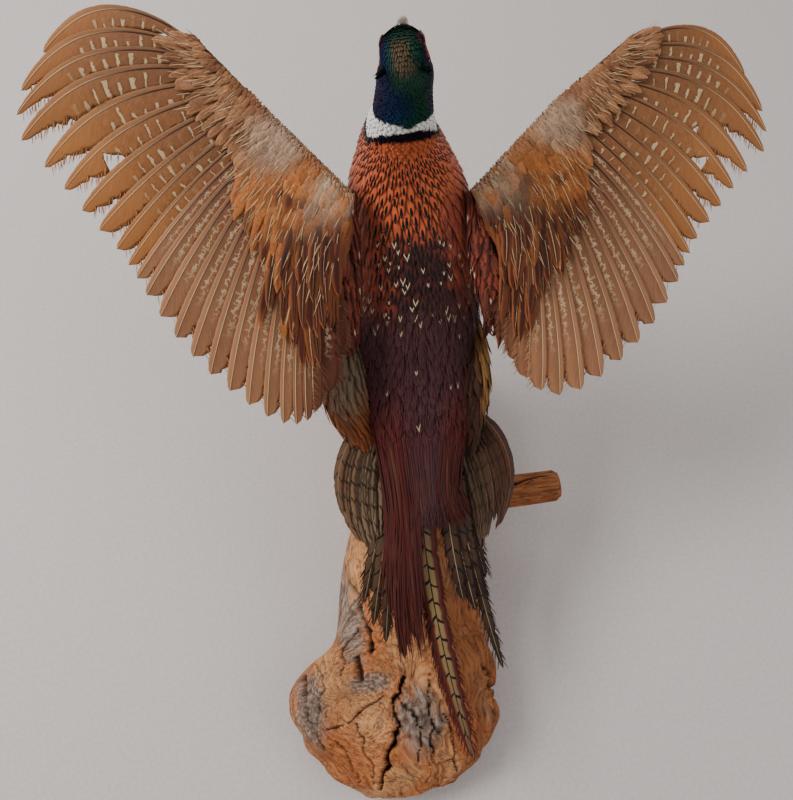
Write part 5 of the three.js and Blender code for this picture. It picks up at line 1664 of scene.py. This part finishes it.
for name, side in (("left", 1), ("right", -1)):
    centre = turn_head((EYE_CENTRE * (side, 1, 1))[None], 1.0)[0]
    gaze = turn_head((EYE_CENTRE * (side, 1, 1) + unit(GAZE) * (side, 1, 1))[None], 1.0)[0] - centre
    bpy.ops.mesh.primitive_uv_sphere_add(segments=64, ring_count=48, radius=EYE_RADIUS)
    eye = bpy.context.active_object
    eye.name = eye.data.name = f"eye_{name}_glass"
    turned = Vector(gaze).to_track_quat("Z", "Y").to_matrix().to_4x4()
    eye.data.transform(Matrix.Translation(centre) @ turned)
    away = np.degrees(np.arccos(np.clip(unit(points_and_normals(eye)[0] - centre) @ gaze, -1, 1)))[:, None]
    colour = blend(rgb("050404"), rgb("a4571c"), smooth(19, 21.5, away))
    colour = blend(colour, rgb("6f3510"), smooth(26, 40, away))
    colour = blend(colour, rgb("140c08"), smooth(46, 50, away))
    paint_points(eye, colour)
    cover(eye, glass_paint)
    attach(eye, "root")
    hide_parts(f"eye_{name}")
    bpy.ops.mesh.primitive_torus_add(major_segments=96, minor_segments=16, major_radius=LID_RADIUS,
                                     minor_radius=LID_THICK)
    lid = bpy.context.active_object
    lid.name = lid.data.name = f"eyelid_{name}"
    lid_centre = centre + gaze * math.sqrt(EYE_RADIUS ** 2 - LID_RADIUS ** 2)
    lid.data.transform(Matrix.Translation(lid_centre) @ turned)
    points, normals = points_and_normals(lid)
    push_out(lid, points, normals, LID_BEAD * np.sin(np.arange(len(points)) * GOLDEN_ANGLE))
    cover(lid, lid_paint)
    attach(lid, "root")

# ---- bare cheeks ----------------------------------------------------------------------------
# Round each eye the skin is bare, bright red and covered in small soft beads.
BEAD_SIZE, BEAD_HEIGHT, CHEEK_SINK, CHEEK_VOXEL = 0.0011, 0.00042, 0.0011, 0.00028
cheek_paint, shader, place = new_material("red_cheek", 0.55, 0.25)
beads = node("TexVoronoi", {"Vector": place, "Scale": 1 / BEAD_SIZE})
shade = ramp(beads, [(0.15, rgb("a5120f")), (0.5, rgb("6d0a0b")), (0.85, rgb("2c0405"))])
feed(shader, "Base Color", shade)
for name in ("left", "right"):
    cheek = joined_copy(f"cheek_{name}_skin", [f"wattle_{name}"])
    even_out(cheek, CHEEK_VOXEL, 3)
    points, normals = points_and_normals(cheek)
    bead = [noise.voronoi(p / BEAD_SIZE)[0][0] for p in points]
    lift = BEAD_HEIGHT * (0.55 - np.clip(np.array(bead), 0, 1))
    points[:, 0] -= CHEEK_SINK * (1 if name == "left" else -1)
    push_out(cheek, points, normals, lift)
    cover(cheek, cheek_paint)
    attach(cheek, "root")
    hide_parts(f"wattle_{name}")

# ---- ear tufts ------------------------------------------------------------------------------
# A small pointed tuft of blackish green feathers stands back from each side of the crown.
TUFT_ROOT, TUFT_TIP, TUFT_RADIUS = np.array([0.015, -0.249, 0.594]), np.array([0.0225, -0.235, 0.600]), 0.003
TUFT_FEATHERS, TUFT_HALF_WIDTH = 60, 0.0008
for name, side in (("left", 1), ("right", -1)):
    local = np.random.default_rng(110 + side)
    around = local.uniform(0, 2 * np.pi, TUFT_FEATHERS)
    out = np.sqrt(local.uniform(0.05, 1, TUFT_FEATHERS)) * TUFT_RADIUS
    share = np.linspace(0, 1, 10)
    tuft_way = unit(TUFT_TIP - TUFT_ROOT)
    tuft_side = unit(np.cross(tuft_way, [0, 0, 1.0]))
    tuft_up = np.cross(tuft_side, tuft_way)
    spoke = tuft_side * np.cos(around)[:, None] + tuft_up * np.sin(around)[:, None]
    reach = (0.2 + 0.5 * local.random(TUFT_FEATHERS) ** 1.6) * np.linalg.norm(TUFT_TIP - TUFT_ROOT) + 0.004
    spine = (TUFT_ROOT - tuft_way * 0.004)[None, None] + tuft_way * (reach[:, None] * share)[..., None] \
        + spoke[:, None] * (out[:, None] * (1 - 0.25 * share ** 1.5))[..., None]
    spine = spine + np.array([0, 0.4, -0.5]) * (0.0012 * np.sin(np.pi * share))[:, None]
    spine = turn_head(spine * (side, 1, 1), 1.0)
    half = TUFT_HALF_WIDTH * vane_profile(share, 0.2, 3.0) * local.uniform(0.8, 1.2, (TUFT_FEATHERS, 1))
    tint = rgb("0d1f1b") * local.uniform(0.6, 1.5, (TUFT_FEATHERS, 1, 1)) * np.ones((1, len(share), 1))
    tuft = vanes(f"ear_tuft_{name}_feathers", spine, spoke[:, None] * (side, 1, 1), half, half, tint,
                 root_patches(around, out), glossy, dome=0.2, thick=0.0003)
    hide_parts(f"ear_tuft_{name}")

# ---- legs and feet --------------------------------------------------------------------------
# Bare scaly shanks and toes grip the wood: three toes forward and a short one behind. The scales
# are broad plates down the front of the shank and across the toes, and fine beads elsewhere.
ANKLE = np.array([0.035, -0.209, 0.132])
TOES = ((0, 0.050, 0.010), (34, 0.038, 0.008), (-36, 0.036, 0.008), (172, 0.020, 0.009))
TARSUS_RADIUS, TOE_ROOT_RADIUS, TOE_TIP_RADIUS = 0.0046, 0.0038, 0.0026
CLAW_DROP, SHANK_PLATE, TOE_PLATE, LEG_BEAD, LEG_VOXEL = 0.005, 0.0042, 0.0026, 0.0016, 0.00055

scale_paint, shader, place = new_material("scaly_legs", 0.5, 0.45)
tint = carried(shader, "tint")
grain = cloud(place, 420, 3)
feed(shader, "Base Color", mix(grain * 0.4, tint, rgb("3c352c")))
claw_paint, shader, place = new_material("horn_claw", 0.35)
tint = carried(shader, "tint")
feed(shader, "Base Color", tint)
feed(shader, "Coat Weight", 0.3)


def curve_tube(name, path, radius, rings, sides, flat=1.0):
    """A closed tube of changing radius along a smooth path of points."""
    path = np.asarray(path, float)
    at = np.linspace(0, len(path) - 1, rings)
    line = np.stack([spline(path[:, k], at) for k in range(3)], -1)
    way = unit(np.gradient(line, axis=0))
    across = unit(np.cross(way, np.where(np.abs(way[:, 2:]) > 0.9, [0, 1.0, 0], [0, 0, 1.0])))
    over = np.cross(across, way)
    turn = np.linspace(0, 2 * np.pi, sides, endpoint=False)
    r = np.asarray([radius(t) for t in np.linspace(0, 1, rings)])[:, None]
    points = line[:, None] + across[:, None] * (r * np.cos(turn))[..., None] \
        + over[:, None] * (flat * r * np.sin(turn))[..., None]
    return closed_tube(name, points), line


def toe_radius(t):
    pads = 1 + 0.10 * math.sin(3 * math.pi * t) ** 2
    return (TOE_ROOT_RADIUS + (TOE_TIP_RADIUS - TOE_ROOT_RADIUS) * t) * pads * (1 if t < 0.93 else 0.8)


for name, side in (("left", 1), ("right", -1)):
    mirror = (side, 1, 1)
    hock, ankle = HOCK * mirror, ANKLE * mirror
    shank, shank_line = curve_tube(f"leg_{name}_skin", [hock, hock + (ankle - hock) * 0.5, ankle],
                                   lambda t: TARSUS_RADIUS * (1.15 - 0.25 * math.sin(math.pi * t)), 30, 24)
    lines, limbs = [shank_line], [shank]
    for toe, (heading, length, rise) in enumerate(TOES):
        angle = math.radians(heading) * side
        away = np.array([math.sin(angle), -math.cos(angle), 0])
        path = [ankle + away * length * s + np.array([0, 0, h]) for s, h in
                ((-0.04, -0.001), (0.25, -rise * 0.45), (0.6, -rise * 0.75), (0.9, -rise - 0.0004))]
        limb, line = curve_tube(f"toe_{toe}", path, toe_radius, 30, 20, 0.92)
        lines.append(line)
        limbs.append(limb)
        root, point = path[-1], ankle + away * length * 1.06 + np.array([0, 0, -rise - CLAW_DROP])
        claw_path = [root - away * 0.0012, root + away * 0.0025 + np.array([0, 0, 0.0006]),
                     root + away * 0.0062 - np.array([0, 0, 0.0010]), point + away * 0.0012]
        claw, _ = curve_tube(f"claw_{name}_{toe}", claw_path, lambda t: 0.0021 * (1 - t) ** 0.8 + 0.0002, 24,
                             16, 1.1)
        colour = blend(rgb("6d6356"), rgb("1f1a16"), np.repeat(np.linspace(0, 1, 24), 16)[:, None])
        paint_points(claw, np.concatenate([colour, colour[:1], colour[-1:]]))
        cover(claw, claw_paint)
        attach(claw, "root")
    select(*limbs)
    bpy.ops.object.join()
    even_out(shank, LEG_VOXEL, 5)
    points, normals = points_and_normals(shank)
    nearest, plate_at, is_toe = np.full(len(points), 9.0), np.zeros(len(points)), np.zeros(len(points), bool)
    for number, line in enumerate(lines):
        gaps = np.linalg.norm(points[:, None] - line[None], axis=-1)
        reach = np.concatenate([[0], np.cumsum(np.linalg.norm(np.diff(line, axis=0), axis=1))])
        step = gaps.argmin(1)
        closer = gaps.min(1) < nearest
        way = unit(np.gradient(line, axis=0))[step]
        run = reach[step] + ((points - line[step]) * way).sum(1)
        plate_at = np.where(closer, run / (TOE_PLATE if number else SHANK_PLATE), plate_at)
        is_toe = np.where(closer, number > 0, is_toe)
        nearest = np.where(closer, gaps.min(1), nearest)
    front = np.where(is_toe, smooth(-0.2, 0.3, normals[:, 2]), smooth(-0.1, 0.4, -normals[:, 1]))
    plate = np.abs((plate_at % 1) - 0.5) * 2
    groove = smooth(0.78, 1.0, plate) * front
    bead = np.array([noise.voronoi(p / LEG_BEAD)[0][0] for p in points])
    beaded = (1 - front) * smooth(0.35, 0.75, bead)
    lift = -0.00045 * groove - 0.0003 * beaded + 0.00015 * front * (1 - plate ** 2)
    push_out(shank, points, normals, lift)
    tint = blend(rgb("8d8374"), rgb("a39a88"), (front * (1 - plate))[:, None])
    paint_points(shank, blend(tint, rgb("40382e"), np.clip(groove + beaded, 0, 1)[:, None] * 0.8))
    cover(shank, scale_paint)
    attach(shank, "root")
    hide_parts(f"foot_{name}")

    spur_root = hock + (ankle - hock) * 0.72 + np.array([-side * 0.0022, 0.0046, 0])
    spur_tip = spur_root + np.array([-side * 0.004, 0.010, 0.005])
    spur_path = [spur_root - (spur_tip - spur_root) * 0.15,
                 (spur_root + spur_tip) / 2 - np.array([0, 0, 0.001]), spur_tip]
    spur, _ = curve_tube(f"spur_{name}_horn", spur_path, lambda t: 0.0027 * (1 - t) ** 0.9 + 0.0004, 30, 24)
    colour = blend(rgb("7d7466"), rgb("2a231c"), np.repeat(np.linspace(0, 1, 30), 24)[:, None])
    paint_points(spur, np.concatenate([colour, colour[:1], colour[-1:]]))
    cover(spur, claw_paint)
    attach(spur, "root")
    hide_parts(f"spur_{name}")
